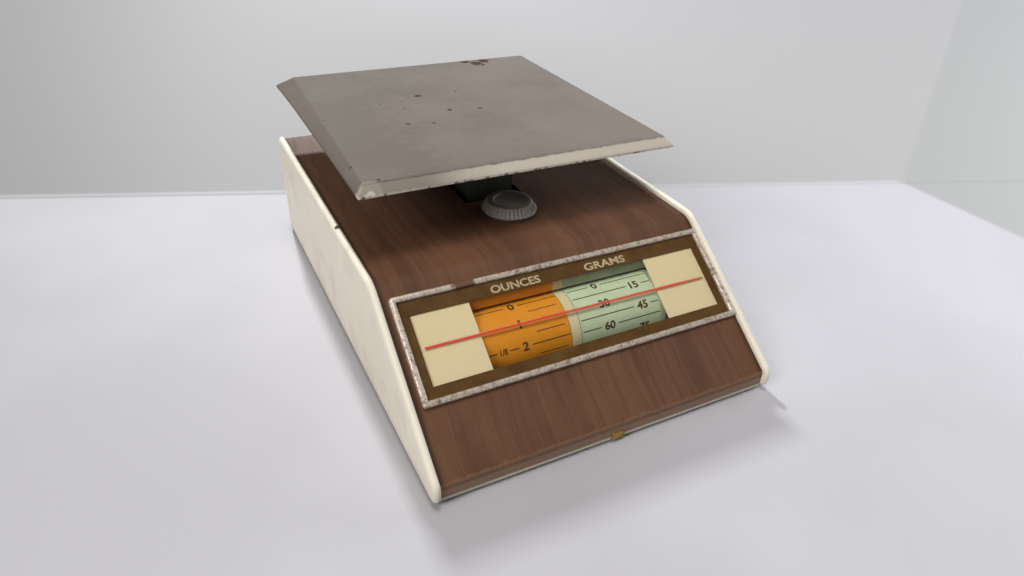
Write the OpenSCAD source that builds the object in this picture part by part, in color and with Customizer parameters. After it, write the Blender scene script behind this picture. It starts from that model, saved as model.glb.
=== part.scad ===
// Postal scale: a low wedge-shaped body with a turning dial drum and a square pan.
// X runs across the body, Y from the front to the back and Z up, with the feet at Z = 0.

/* [Body] */
// Width over the two side panels
body_w = 134; // [124:1:150]
// Depth of the wood-grain cover, from its front lip to its back edge
body_d = 190; // [186:1:205]
// Thickness of a side panel
panel_t = 2.6; // [2:0.1:3.5]
// How far a side panel stands proud of the cover
panel_rim = 2; // [1:0.1:3]
// Chamfer round the outer face of a side panel
panel_chamfer = 0.6; // [0.3:0.1:1]
// Height of the lower edge of the side panels
panel_low_z = 1; // [0.8:0.1:1.4]
// Thickness of the cover sheet
cover_t = 0.8; // [0.6:0.1:1.2]
// Height of the lower edge of the front lip
lip_low_z = 2.8; // [2.7:0.1:4]
// Height at which the front lip would meet the slope
lip_top_z = 7.9; // [7.5:0.1:9]
// Radius of the bend between lip and slope
lip_r = 2; // [1.5:0.1:3]
// Distance from the lip to where the slope would meet the deck
knee_run = 55.5; // [53:0.5:57]
// Radius of the bend between slope and deck
knee_r = 10; // [6:0.5:12]
// Height of the deck
deck_z = 46; // [45.5:0.1:48]
// Thickness of the back panel
back_t = 1.6; // [1.2:0.1:2]
// Thickness of the base plate
base_t = 1.2; // [1:0.1:1.3]
// Height of the turned-up sides of the base plate
base_flange_h = 7; // [6:0.5:8]
// Width of the ledges that carry the cover
ledge_w = 2; // [1:0.1:3]
// Thickness of those ledges
ledge_t = 1.4; // [1:0.1:2]
// Running and fitting gap between sheets of the case
fit_gap = 0.1; // [0.05:0.01:0.2]

/* [Feet and screws] */
// Radius of a rubber foot
foot_r = 5; // [4:0.5:7]
// Thickness of a rubber foot
foot_h = 1.2; // [1.1:0.1:1.4]
// Distance of the feet from the front and back of the cover
foot_inset_y = 24; // [18:1:30]
// Distance of the feet from the outside of the side panels
foot_inset_x = 18; // [14:1:22]
// Radius of a case screw
screw_r = 1.3; // [1:0.1:1.5]
// Height of a case screw's head
screw_head_h = 0.8; // [0.5:0.1:0.9]
// Length of a case screw's thread
screw_l = 8; // [6:0.5:8.5]
// Radius of a screw boss on a side panel
boss_r = 3.4; // [2.8:0.1:4]
// Height of the screw bosses above the base plate
boss_h = 9; // [8.8:0.1:9.5]
// Distance of the screw bosses from the front and back of the cover
boss_inset_y = 12; // [11:0.5:14]

/* [Window] */
// Gap between the silver rim and the left side panel
bezel_gap_left = 2.6; // [1:0.1:5]
// Gap between the silver rim and the right side panel
bezel_gap_right = 0.2; // [0.1:0.1:4]
// Lower edge of the silver rim, measured up the slope from the lip bend
bezel_low_s = 23.4; // [23:0.1:24]
// Upper edge of the silver rim, measured up the slope
bezel_high_s = 61.1; // [60:0.1:61.5]
// Width of the silver rim
rim_w = 2; // [1.5:0.1:2.5]
// Height of the silver rim above the cover
rim_h = 1.8; // [1.6:0.1:2.5]
// Outer corner radius of the rim
rim_r = 1.2; // [0.8:0.1:1.5]
// Thickness of the brown band
band_t = 0.5; // [0.4:0.1:0.6]
// Width of the brown band at each side of the clear window
band_side = 3.1; // [2.5:0.1:5]
// Width of the band below the window
band_low = 3.9; // [3:0.1:4.5]
// Width of the band above the window, where the words stand
band_high = 5.1; // [4.5:0.1:6]
// Thickness of the clear lens
lens_t = 1; // [0.8:0.1:1.1]
// Width of the mask that shows to the left of the dial
left_mask_w = 21; // [20:0.2:24]
// Width of the mask that shows to the right of the dial
right_mask_w = 22.8; // [21.8:0.2:26]
// Thickness of a dial mask
mask_t = 0.5; // [0.4:0.1:0.6]
// Distance of the red index line's middle above the window's lower edge
index_up = 12.1; // [11.3:0.1:12.4]
// Slant of the index line in degrees; it was printed a little askew
index_tilt = -0.5; // [-2:0.1:2]
// Width of the index line
index_w = 0.8; // [0.5:0.1:1.2]
// Thickness of the index line
index_t = 0.12; // [0.1:0.01:0.2]
// How far the index line stops short of the window's sides
index_inset = 1.4; // [1:0.1:6]

/* [Dial drum] */
// Radius of the printed chart on the drum
chart_r = 15; // [14:0.1:15.1]
// Thickness of the printed chart
chart_t = 0.2; // [0.15:0.05:0.3]
// How far the drum reaches past the dial at each side
drum_over = 2.6; // [1.5:0.1:3]
// Wall of the drum shell
drum_wall = 0.8; // [0.6:0.1:1.2]
// Depth of the drum below the outer face of the cover
drum_sink = 1; // [1:0.05:1.1]
// Thickness of a drum end
drum_end_t = 1.6; // [1.2:0.1:2.5]
// Radius of a drum end's hub
hub_r = 4; // [3.2:0.1:5]
// Radius of the lightening holes in the drum ends
hole_r = 3; // [2:0.1:3.4]
// Number of lightening holes in a drum end
hole_count = 5; // [3:1:6]
// Radius of the drum shaft
drum_shaft_r = 1.5; // [1.2:0.1:1.6]

/* [Gearing] */
// Gear module
gear_m = 0.4; // [0.4]
// Teeth of the pinion
pinion_teeth = 12; // [12]
// Distance of the lever's pivot ahead of the back panel
pivot_inset = 5.4; // [5.2:0.1:6]
// Width of the pinion
pinion_w = 2.6; // [2:0.1:3]
// Thickness of the sector
sector_t = 1.2; // [0.8:0.1:1.5]
// Depth of the sector's rim behind its teeth
sector_rim = 4; // [3:0.5:5]
// Ounces at the top of the dial
capacity_oz = 10; // [6:1:10]
// Ounces that the scale shows at rest
rest_oz = 1; // [0:1:2]
// Turn of the drum for one ounce, in degrees
ounce_turn = 30; // [30]

/* [Lever] */
// Gap between a lever arm and the drum's longer end
arm_gap = 1.6; // [1:0.1:2]
// Thickness of a lever arm
arm_t = 1.2; // [1:0.1:1.6]
// Half height of a lever arm at its pivot end
arm_back_h = 4; // [3.5:0.1:4.5]
// Half height of a lever arm at its front end
arm_front_h = 3; // [2.4:0.1:3.2]
// Radius of the eyes where shafts pass through an arm
eye_r = 4.6; // [4.2:0.1:4.8]
// Radius of the pivot shaft
pivot_r = 2; // [1.8:0.1:2.2]
// Radius of the rods across the lever and of the stay pins
rod_r = 1.5; // [1.2:0.1:1.6]
// Clearance of a shaft that is fixed in its hole
seat_gap = 0.03; // [0.02:0.01:0.05]
// Clearance of a shaft that turns in its hole
run_gap = 0.06; // [0.04:0.01:0.1]
// Gap between a bracket and the pinion
bracket_gap = 2.5; // [1.5:0.1:3]
// Thickness of a bracket
bracket_t = 1.2; // [1:0.1:1.5]
// Width of a bracket along Y
bracket_w = 14; // [12:1:16]
// Length of a bracket's foot along X
bracket_foot = 7; // [6:0.5:7]
// Height of a bracket above the shaft that it carries
bracket_over = 6; // [5:0.5:8]
// Thickness of a retaining ring
ring_t = 0.8; // [0.6:0.1:1]
// Wall of a bush
bush_wall = 1; // [0.8:0.1:1.2]
// Thickness of a bush's flange
bush_flange = 0.8; // [0.6:0.1:1]
// Radius of a rivet
rivet_r = 1; // [0.8:0.1:1.2]
// Thickness of a rivet's head
rivet_head = 0.6; // [0.5:0.1:0.7]
// Radius of a rubber travel stop
stop_r = 3; // [2:0.5:4]

/* [Pan] */
// Side of the square pan
pan_w = 127; // [110:1:132]
// Distance of the pan's middle from the front lip
pan_y = 133; // [131:0.5:134]
// Height of the pan's top
pan_z = 73.5; // [68:0.5:80]
// Thickness of the pan's sheet
pan_t = 1; // [0.8:0.1:1.4]
// Width of the bevel round the pan
bevel_w = 4; // [2.5:0.1:5]
// Drop of the bevel
bevel_drop = 2.7; // [1.5:0.1:4]
// Width of the post that carries the pan
post_w = 19; // [18:0.5:20]
// Sheet thickness of the post
post_t = 1.2; // [1:0.1:1.4]
// Distance of the post's front face ahead of the pan's middle
post_lead = 31; // [29:0.5:31.5]
// Distance of the post's back edge behind the pan's middle
post_tail = 7; // [6:0.5:8]
// Height of the stay above the lever
stay_rise = 15; // [13:0.5:16]
// Width of the stay link
stay_w = 11; // [9:0.5:12]
// Thickness of the stay link
stay_t = 1.4; // [1:0.1:2]
// Width of the bracket under the pan
pan_bracket_w = 40; // [34:1:60]
// Height of the pan bracket's aprons
apron_h = 12; // [8:0.5:14]

/* [Zero setting] */
// Distance of the knob from the front lip
knob_y = 85.5; // [85:0.1:86]
// Radius of the knob at its widest, above its foot
knob_r = 11; // [9.4:0.1:11.2]
// Radius of the knob at its top
knob_top_r = 8.8; // [7:0.1:9.2]
// Height of the knob
knob_h = 4.9; // [4:0.1:6.5]
// Number of flutes round the knob
knob_flutes = 40; // [24:1:48]
// Depth of a flute
flute_d = 0.5; // [0.3:0.05:0.7]
// Gap between the knob and the deck
knob_gap = 0.3; // [0.2:0.05:0.5]
// Radius of the zero screw
zero_r = 2; // [1.8:0.1:2.2]
// Rise of the zero screw's thread for one turn
zero_pitch = 0.7; // [0.5:0.1:0.8]
// Turns of the knob each way from rest
zero_turns = 1.5; // [1:0.5:1.5]
// Height of the spring nut
nut_h = 5; // [4:0.5:6]
// Length of the spring nut along X
nut_l = 8; // [7:0.5:10]
// Width of the spring nut along Y
nut_w = 11; // [10:0.5:12]
// Depth of the zero bracket below the deck
zero_bracket_h = 17; // [16:0.5:18]
// Radius of the spring's coils
coil_r = 4; // [3.5:0.1:4.5]
// Radius of the spring's wire
wire_r = 0.4; // [0.3:0.05:0.5]
// Number of coils
coils = 8; // [6:1:9]

/* [Hidden] */
$fn = 64;

// Places along Y: the whole scale, from the panels' front to the pan's back, is centred on Y = 0
overall_l = panel_rim + pan_y + pan_w / 2;
lip_y = panel_rim - overall_l / 2;
back_y = lip_y + body_d;
knee_y = lip_y + knee_run;
pan_cy = lip_y + pan_y;
knob_cy = lip_y + knob_y;

// Inside of the side panels, top of the base plate and underside of the cover
inner_x = body_w / 2 - panel_t;
base_low_z = foot_h;
base_z = base_low_z + base_t;
deck_under = deck_z - cover_t;

// Bezel and window, measured across the body and up the slope, and the dial between the masks
bezel_x0 = -inner_x + bezel_gap_left;
bezel_x1 = inner_x - bezel_gap_right;
bezel_w = bezel_x1 - bezel_x0;
bezel_d = bezel_high_s - bezel_low_s;
lens_inset = rim_w + fit_gap;
lens_x = bezel_x0 + lens_inset;
lens_s = bezel_low_s + lens_inset;
lens_w = bezel_w - 2 * lens_inset;
lens_d = bezel_d - 2 * lens_inset;
window_x0 = lens_x + band_side;
window_x1 = lens_x + lens_w - band_side;
window_w = window_x1 - window_x0;
window_low_s = lens_s + band_low;
window_high_s = lens_s + lens_d - band_high;
window_d = window_high_s - window_low_s;
index_s = window_low_s + index_up;
dial_left_x = window_x0 + left_mask_w;
dial_right_x = window_x1 - right_mask_w;
drum_x0 = dial_left_x - drum_over;
drum_x1 = dial_right_x + drum_over;

// The slope: its angle, and the drum's centre square below the index line
slope_a = atan2(deck_z - lip_top_z, knee_run);
drum_depth = chart_r + drum_sink;
drum_y = lip_y + index_s * cos(slope_a) + drum_depth * sin(slope_a);
drum_z = lip_top_z + index_s * sin(slope_a) - drum_depth * cos(slope_a);

// Gears: the sector is centred on the lever's pivot, level with the drum
pinion_pr = gear_m * pinion_teeth / 2;
addendum = 0.85 * gear_m;
dedendum = 1.15 * gear_m;
pivot_y = back_y - back_t - pivot_inset;
pivot_z = drum_z;
sector_pr = pivot_y - drum_y - pinion_pr;
tooth_turn = 180 * gear_m / sector_pr;
lever_turn = ounce_turn * pinion_pr / sector_pr;
turn_up = rest_oz * lever_turn;
turn_down = (capacity_oz - rest_oz) * lever_turn;
arm_x = max(-drum_x0, drum_x1) + arm_gap + arm_t / 2;
sector_x = arm_x + arm_t / 2;
gear_x = sector_x + sector_t / 2;
bracket_x = gear_x + pinion_w / 2 + bracket_gap;

// Heights of the upper pivots and of the nut
stay_z = pivot_z + stay_rise;
zero_top = deck_z + knob_gap;
zero_low = deck_under - zero_bracket_h;
nut_rest = 5.5;
nut_z = zero_low + nut_rest;
post_y = pan_cy - post_lead;
pan_under = pan_z - pan_t;
post_top = pan_under - post_t;

// Points of an arc, from angle a0 to a1
function arc(cy, cz, r, a0, a1, n) =
    [for (i = [0:n]) [cy + r * cos(a0 + (a1 - a0) * i / n), cz + r * sin(a0 + (a1 - a0) * i / n)]];

// The cover's line in the Y-Z plane, drawn in by a depth from its outer face, from a lower end on
function skin_line(depth, low) = let(
        lip_t = lip_r * tan((90 - slope_a) / 2),
        knee_t = knee_r * tan(slope_a / 2))
    concat(
        [[lip_y + depth, low]],
        arc(lip_y + lip_r, lip_top_z - lip_t, lip_r - depth, 180, 90 + slope_a, 10),
        arc(knee_y + knee_t, deck_z - knee_r, knee_r - depth, 90 + slope_a, 90, 18));

function backwards(points) = [for (i = [len(points) - 1:-1:0]) points[i]];

// A strip between two depths of the cover's line, from one Y to the back
function strip(depth_a, depth_b, low) =
    concat(skin_line(depth_a, low), [[back_y, deck_z - depth_a]],
        [[back_y, deck_z - depth_b]], backwards(skin_line(depth_b, low)));

// The whole side outline, drawn in by a depth
function wedge(depth, low, back) =
    concat(skin_line(depth, low), [[back, deck_z - depth]], [[back, low]]);

// Stands a Y-Z outline up and gives it a thickness along X
module upright(x, t) {
    translate([x, 0, 0]) rotate([90, 0, 90]) linear_extrude(t) children();
}

// A cylinder along X
module rod(r, x0, x1) {
    translate([x0, 0, 0]) rotate([0, 90, 0]) cylinder(r = r, h = x1 - x0);
}

// A tube along X
module tube(r, bore, x0, x1) {
    difference() {
        rod(r, x0, x1);
        rod(bore, x0 - 1, x1 + 1);
    }
}

// Local frame on the slope: Y runs up the slope from the lip bend and Z out of the cover
module on_slope(s, h) {
    translate([0, lip_y, lip_top_z]) rotate([slope_a, 0, 0]) translate([0, s, h]) children();
}

module at_drum() { translate([0, drum_y, drum_z]) children(); }
module at_pivot() { translate([0, pivot_y, pivot_z]) children(); }
module at_carrier() { translate([0, pan_cy, pivot_z]) children(); }
module at_stay_front() { translate([0, pan_cy, stay_z]) children(); }
module at_stay_back() { translate([0, pivot_y, stay_z]) children(); }
module at_knob() { translate([0, knob_cy, 0]) children(); }

module both_sides() {
    children();
    mirror([1, 0, 0]) children();
}

// Y places of the feet and of the screw bosses
boss_room = 1;
foot_ys = [lip_y + foot_inset_y, back_y - foot_inset_y];
boss_ys = [lip_y + boss_inset_y, back_y - boss_inset_y];
boss_x = inner_x - boss_r - boss_room;
foot_x = body_w / 2 - foot_inset_x;

// Case

// Right-hand side panel; the left one is its mirror image
module side_panel() {
    color("ivory") {
        difference() {
            union() {
                hull() {
                    upright(inner_x, panel_t - panel_chamfer)
                        polygon(wedge(-panel_rim, panel_low_z, back_y));
                    upright(inner_x, panel_t)
                        polygon(wedge(panel_chamfer - panel_rim, panel_low_z + panel_chamfer,
                            back_y - panel_chamfer));
                }
                upright(inner_x - ledge_w, ledge_w) polygon(panel_ledge());
                for (y = boss_ys) translate([0, y, base_z]) {
                    translate([boss_x, 0, 0]) cylinder(r = boss_r, h = boss_h);
                    translate([boss_x, -boss_r / 2, 0]) cube([inner_x - boss_x, boss_r, boss_h]);
                }
            }
            for (y = boss_ys) translate([boss_x, y, base_z - 1]) cylinder(r = screw_r, h = boss_h);
        }
    }
}

// The ledge follows the underside of the slope and the deck, and stops short of the back panel
function panel_ledge() = let(
        top = cover_t + fit_gap,
        low = top + ledge_t,
        end = back_y - back_t - 1,
        skip = 1)
    concat([for (p = skin_line(top, lip_top_z)) if (p[1] > lip_top_z + skip) p], [[end, deck_z - top]],
        [[end, deck_z - low]],
        backwards([for (p = skin_line(low, lip_top_z)) if (p[1] > lip_top_z + skip) p]));

module left_side_panel() { mirror([1, 0, 0]) side_panel(); }

module right_side_panel() { side_panel(); }

// Hole in the deck round the pan's post, with room for the swing of the linkage
post_room_x = 3.5;
post_room_front = 4;
post_room_back = 5;
post_hole_w = post_w + 2 * post_room_x;
post_hole_front = post_y - post_room_front;
post_hole_back = pan_cy + post_tail + post_room_back;

// How far the cover's cut-out stands back from the clear window, the room round the zero screw,
// and the height of the blocks that cut through the cover
cut_room = 1;
screw_room = 0.5;
cut_h = 8 * cover_t;

// Bent sheet with a walnut-grain skin
module wood_cover() {
    half = inner_x - fit_gap;
    color("saddlebrown") difference() {
        upright(-half, 2 * half) polygon(strip(0, cover_t, lip_low_z));
        on_slope(window_low_s - cut_room, -cut_h / 2) translate([window_x0 - cut_room, 0, 0])
            cube([window_w + 2 * cut_room, window_d + 2 * cut_room, cut_h]);
        translate([-post_hole_w / 2, post_hole_front, deck_z - cut_h / 2])
            cube([post_hole_w, post_hole_back - post_hole_front, cut_h]);
        at_knob() translate([0, 0, deck_z - cut_h / 2]) cylinder(r = zero_r + screw_room, h = cut_h);
    }
}

module back_panel() {
    half = inner_x - fit_gap;
    color("ivory") translate([-half, back_y - back_t, base_z])
        cube([2 * half, back_t, deck_under - base_z - fit_gap]);
}

// Setback of the tray behind the lip and inside the back, and of its turned-up sides from its ends
tray_gap = 0.2;
flange_inset = 22;

// Cream tray: a floor with turned-up sides, drilled for the case screws
module base_plate() {
    half = inner_x - fit_gap;
    front = lip_y + tray_gap;
    depth = back_y - front - tray_gap;
    color("ivory") difference() {
        union() {
            translate([-half, front, base_low_z]) cube([2 * half, depth, base_t]);
            both_sides() translate([half - base_t, lip_y + flange_inset, base_z - base_t / 2])
                cube([base_t, body_d - 2 * flange_inset, base_flange_h]);
        }
        both_sides() for (y = boss_ys) translate([boss_x, y, 0]) cylinder(r = screw_r + fit_gap, h = 10);
    }
}

// Small brass tab that holds the lip down in the middle
module front_catch() {
    catch_w = 5;
    catch_t = 0.5;
    catch_lap = 1.4;
    color("darkgoldenrod") translate([-catch_w / 2, lip_y - catch_t, base_low_z])
        cube([catch_w, catch_t, lip_low_z - base_low_z + catch_lap]);
}

module rounded_plate(w, d, r, t) {
    translate([r, 0, 0]) cube([w - 2 * r, d, t]);
    translate([0, r, 0]) cube([w, d - 2 * r, t]);
    for (x = [r, w - r], y = [r, d - r]) translate([x, y, 0]) cylinder(r = r, h = t);
}

// Silver rim of the bezel
module window_rim() {
    color("silver") on_slope(bezel_low_s, 0) difference() {
        translate([bezel_x0, 0, 0]) rounded_plate(bezel_w, bezel_d, rim_r, rim_h);
        translate([bezel_x0 + rim_w, rim_w, -1])
            cube([bezel_w - 2 * rim_w, bezel_d - 2 * rim_w, rim_h + 2]);
    }
}

// Brown band round the clear window, under the lens
module window_band() {
    color("saddlebrown") on_slope(lens_s, 0) difference() {
        translate([lens_x, 0, 0]) cube([lens_w, lens_d, band_t]);
        translate([window_x0, window_low_s - lens_s, -1])
            cube([window_w, window_d, band_t + 2]);
    }
}

module window_lens() {
    color("lightcyan") on_slope(lens_s, band_t)
        translate([lens_x, 0, 0]) cube([lens_w, lens_d, lens_t]);
}

// Red line printed under the lens
module index_line() {
    index_l = window_w - 2 * index_inset;
    color("red") on_slope(index_s, band_t - index_t)
        translate([(window_x0 + window_x1) / 2, 0, 0]) rotate([0, 0, index_tilt])
            translate([-index_l / 2, -index_w / 2, 0]) cube([index_l, index_w, index_t]);
}

// How far a mask reaches under the side of the window
mask_lap = 0.8;

// A cream plate between one side of the window and the dial
module dial_mask(x0, x1) {
    color("cornsilk") on_slope(window_low_s, -mask_t) translate([x0, 0, 0])
        cube([x1 - x0, window_d, mask_t]);
}

module left_dial_mask() { dial_mask(window_x0 - mask_lap, dial_left_x); }

module right_dial_mask() { dial_mask(dial_right_x, window_x1 + mask_lap); }

// Brackets, bushes and stops fixed in the case

bush_r = drum_shaft_r + run_gap + bush_wall;
bush_flange_w = 1.2;
pivot_bracket_tail = pivot_inset - 4 * fit_gap;
pivot_bush_r = pivot_r + run_gap + bush_wall;

// Right-hand angle bracket: an upright plate with a hole for a bush, and a foot turned outwards
module shaft_bracket(y, z, hole, tail) {
    color("lightgray") difference() {
        translate([bracket_x, y + tail - bracket_w, base_z]) {
            cube([bracket_t, bracket_w, z + bracket_over - base_z]);
            cube([bracket_foot, bracket_w, bracket_t]);
        }
        translate([0, y, z]) rod(hole + seat_gap, bracket_x - 1, bracket_x + bracket_t + 1);
    }
}

module left_drum_bracket() { mirror([1, 0, 0]) right_drum_bracket(); }

module right_drum_bracket() { shaft_bracket(drum_y, drum_z, bush_r, bracket_w / 2); }

module left_pivot_bracket() { mirror([1, 0, 0]) right_pivot_bracket(); }

module right_pivot_bracket() { shaft_bracket(pivot_y, pivot_z, pivot_bush_r, pivot_bracket_tail); }

// Flanged brass bush in a bracket, right-hand side
module bush(r, bore) {
    color("gold") difference() {
        union() {
            rod(r, bracket_x, bracket_x + bracket_t);
            rod(r + bush_flange_w, bracket_x + bracket_t, bracket_x + bracket_t + bush_flange);
        }
        rod(bore, bracket_x - 1, bracket_x + bracket_t + bush_flange + 1);
    }
}

module drum_bushes() { at_drum() both_sides() bush(bush_r, drum_shaft_r + run_gap); }

module pivot_bushes() { at_pivot() both_sides() bush(pivot_bush_r, pivot_r + run_gap); }

// Side play of the stay, wall of its eyes and how far a plain pin stands out at each end
stay_play = 0.6;
stay_eye_r = rod_r + stay_t;
pin_end = 0.6;
stay_ear_x = stay_w / 2 + stay_play;

// Two ears that stand forward from the back panel and hold the stay's shaft
module stay_bracket() {
    plate_w = 2 * (stay_ear_x + bracket_t);
    ear_h = 10;
    ear_low = stay_z - ear_h / 2;
    ear_lead = 4;
    face_y = back_y - back_t;
    color("lightgray") difference() {
        union() {
            translate([-plate_w / 2, face_y - bracket_t, ear_low]) cube([plate_w, bracket_t, ear_h]);
            both_sides() translate([stay_ear_x, pivot_y - ear_lead, ear_low])
                cube([bracket_t, face_y - pivot_y + ear_lead, ear_h]);
        }
        at_stay_back() rod(rod_r + seat_gap, -plate_w, plate_w);
    }
}

module stay_shaft() {
    half = stay_ear_x + bracket_t + pin_end;
    color("silver") at_stay_back() rod(rod_r, -half, half);
}

// Play of the nut in its channel, and the flanges by which the channel is welded under the deck
nut_play = 0.15;
channel_flange = 3;

// Channel under the deck that guides the spring nut, with a hole for the zero screw
module zero_bracket() {
    guide_y = nut_w / 2 + nut_play;
    plate_y = guide_y + bracket_t + channel_flange;
    color("lightgray") at_knob() difference() {
        union() {
            translate([-nut_l / 2 - channel_flange, -plate_y, deck_under - bracket_t])
                cube([nut_l + 2 * channel_flange, 2 * plate_y, bracket_t]);
            for (y = [-guide_y - bracket_t, guide_y]) translate([-nut_l / 2, y, zero_low])
                cube([nut_l, bracket_t, zero_bracket_h]);
        }
        translate([0, 0, deck_under - 5]) cylinder(r = zero_r + run_gap, h = 10);
    }
}

// Rubber pads on the base plate that stop the lever arms at full load
stop_reach = 120;
stop_gap = 0.2;
stop_top = pivot_z - stop_reach * sin(turn_down) - arm_back_h - stop_gap;

module travel_stops() {
    color("dimgray") both_sides() translate([arm_x, pivot_y - stop_reach, base_z])
        cylinder(r = stop_r, h = stop_top - base_z);
}

module rubber_feet() {
    color("dimgray") both_sides() for (y = foot_ys) translate([foot_x, y, 0])
        cylinder(r = foot_r, h = foot_h);
}

// Pan-head screws through the base plate into the bosses of the side panels
module base_screws() {
    color("silver") both_sides() for (y = boss_ys) translate([boss_x, y, base_low_z]) {
        translate([0, 0, -screw_head_h]) cylinder(r = 2 * screw_r, h = screw_head_h);
        cylinder(r = screw_r - seat_gap, h = screw_l);
    }
}

// Drum

shell_r = chart_r - chart_t;

// Length of a drum end's hub, bare ends of the drum past the chart, and a retaining ring's width
hub_l = 5;
chart_inset = 0.5;
ring_w = 1.5;

module drum_shell() {
    color("lightgray") at_drum() tube(shell_r, shell_r - drum_wall, drum_x0, drum_x1);
}

// Disc with a hub and lightening holes; the hub reaches inwards
module drum_end(x, inward) {
    web = shell_r - drum_wall - fit_gap / 2;
    color("whitesmoke") at_drum() difference() {
        union() {
            rod(web, min(x, x + inward * drum_end_t), max(x, x + inward * drum_end_t));
            rod(hub_r, min(x, x + inward * hub_l), max(x, x + inward * hub_l));
        }
        rod(drum_shaft_r + seat_gap, x - 10, x + 10);
        for (i = [0:hole_count - 1]) rotate([i * 360 / hole_count, 0, 0])
            translate([0, 0, (hub_r + web) / 2]) rod(hole_r, x - 10, x + 10);
    }
}

module drum_end_left() { drum_end(drum_x0, 1); }

module drum_end_right() { drum_end(drum_x1, -1); }

// Printed strip wrapped round the drum
module dial_chart() {
    color("orange") at_drum() tube(chart_r, shell_r, drum_x0 + chart_inset, drum_x1 - chart_inset);
}

// Retaining rings stand just outside the bushes, and the shafts end just past the rings
ring_x = bracket_x + bracket_t + bush_flange + fit_gap;
shaft_half = ring_x + ring_t + 1;

module drum_shaft() {
    color("silver") at_drum() rod(drum_shaft_r, -shaft_half, shaft_half);
}

// Half widths of a tooth at its root, pitch line and tip, and how far it is sunk in its rim
tooth_sink = 0.2;
pinion_tooth = [0.24, 0.22, 0.08];
sector_tooth = [0.42, 0.25, 0.13];

// Outline of one tooth that points along Z
module tooth(half, pitch_r) {
    root_r = pitch_r - dedendum - tooth_sink;
    tip_r = pitch_r + addendum;
    polygon([[-half[0], root_r], [-half[1], pitch_r], [-half[2], tip_r],
        [half[2], tip_r], [half[1], pitch_r], [half[0], root_r]]);
}

// At rest one tooth points back, at the gap between two teeth of the sector
module pinion() {
    turn = 360 / pinion_teeth;
    color("gold") at_drum() difference() {
        union() {
            rod(pinion_pr - dedendum, gear_x - pinion_w / 2, gear_x + pinion_w / 2);
            upright(gear_x - pinion_w / 2, pinion_w) for (i = [0:pinion_teeth - 1])
                rotate(-90 + i * turn) tooth(pinion_tooth, pinion_pr);
        }
        rod(drum_shaft_r + seat_gap / 2, 0, body_w);
    }
}

// Right-hand retaining ring on a shaft
module shaft_ring(r) { tube(r + ring_w, r + seat_gap, ring_x, ring_x + ring_t); }

module drum_clips() { color("dimgray") at_drum() both_sides() shaft_ring(drum_shaft_r); }

// Lever

// The right arm ends behind the sector's rim; two rivets hold the sector's tongue to it
rivet_edge = 2.5;
rivet_step = 6;
arm_nose = 6;
arm_front_y = drum_y + pinion_pr + addendum + sector_rim;
sector_rivet_ys = [arm_front_y + rivet_edge, arm_front_y + rivet_edge + rivet_step];

// Tapered arm from the pivot to a front end, with holes for shafts and rivets
module lever_arm(front_y, holes) {
    front_h = arm_front_h + (arm_back_h - arm_front_h) * (front_y - arm_front_y) / (pivot_y - arm_front_y);
    difference() {
        union() {
            upright(arm_x - arm_t / 2, arm_t) polygon([
                [front_y, pivot_z - front_h], [pivot_y, pivot_z - arm_back_h],
                [pivot_y, pivot_z + arm_back_h], [front_y, pivot_z + front_h]]);
            at_pivot() rod(eye_r, arm_x - arm_t / 2, arm_x + arm_t / 2);
        }
        at_pivot() rod(pivot_r + seat_gap, 0, body_w);
        for (y = [pan_cy, knob_cy]) translate([0, y, pivot_z]) rod(rod_r + seat_gap, 0, body_w);
        for (y = holes) translate([0, y, pivot_z]) rod(rivet_r + seat_gap, 0, body_w);
    }
}

module lever_arm_right() { color("lightgray") lever_arm(arm_front_y, sector_rivet_ys); }

module lever_arm_left() { color("lightgray") mirror([1, 0, 0]) lever_arm(knob_cy - arm_nose, []); }

module pivot_shaft() { color("silver") at_pivot() rod(pivot_r, -shaft_half, shaft_half); }

module pivot_clips() { color("dimgray") at_pivot() both_sides() shaft_ring(pivot_r); }

rod_end = 0.8;
rod_half = arm_x + arm_t / 2 + rod_end;

// Rod that the pan's post hangs on
module carrier_shaft() { color("silver") at_carrier() rod(rod_r, -rod_half, rod_half); }

// Rod that the spring pulls on
module spring_bar() {
    color("silver") translate([0, knob_cy, pivot_z]) rod(rod_r, -rod_half, rod_half);
}

// Toothed sector riveted to the outer face of the right arm, in mesh with the pinion
module sector_gear() {
    outer = sector_pr - dedendum;
    inner = outer - sector_rim;
    low_turn = turn_up + 2 * tooth_turn;
    high_turn = turn_down + 2.5 * tooth_turn;
    first = -floor(low_turn / tooth_turn);
    last = floor(high_turn / tooth_turn) - 1;
    tongue_y = sector_rivet_ys[1] + rivet_edge;
    tongue_h = arm_front_h - 4 * fit_gap;
    web_rise = 3 * arm_front_h;
    web_y = pivot_y - inner - sector_rim / 4;
    color("lightgray") difference() {
        union() {
            translate([0, pivot_y, pivot_z]) upright(sector_x, sector_t) {
                polygon(concat(
                    arc(0, 0, outer, 180 + low_turn, 180 - high_turn, 24),
                    arc(0, 0, inner, 180 - high_turn, 180 + low_turn, 24)));
                for (i = [first:last]) rotate(90 - (i + 0.5) * tooth_turn)
                    tooth(sector_tooth, sector_pr);
            }
            upright(sector_x, sector_t) polygon([
                [web_y, pivot_z - tongue_h], [tongue_y, pivot_z - tongue_h],
                [tongue_y, pivot_z + tongue_h], [web_y, pivot_z + web_rise]]);
        }
        for (y = sector_rivet_ys) translate([0, y, pivot_z]) rod(rivet_r + seat_gap, 0, body_w);
    }
}

// Rivet along Z with a head at each end of its grip
module rivet(grip) {
    head_r = 1.7 * rivet_r;
    cylinder(r = rivet_r, h = grip);
    translate([0, 0, -rivet_head]) cylinder(r = head_r, h = rivet_head);
    translate([0, 0, grip]) cylinder(r = head_r, h = rivet_head);
}

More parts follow.
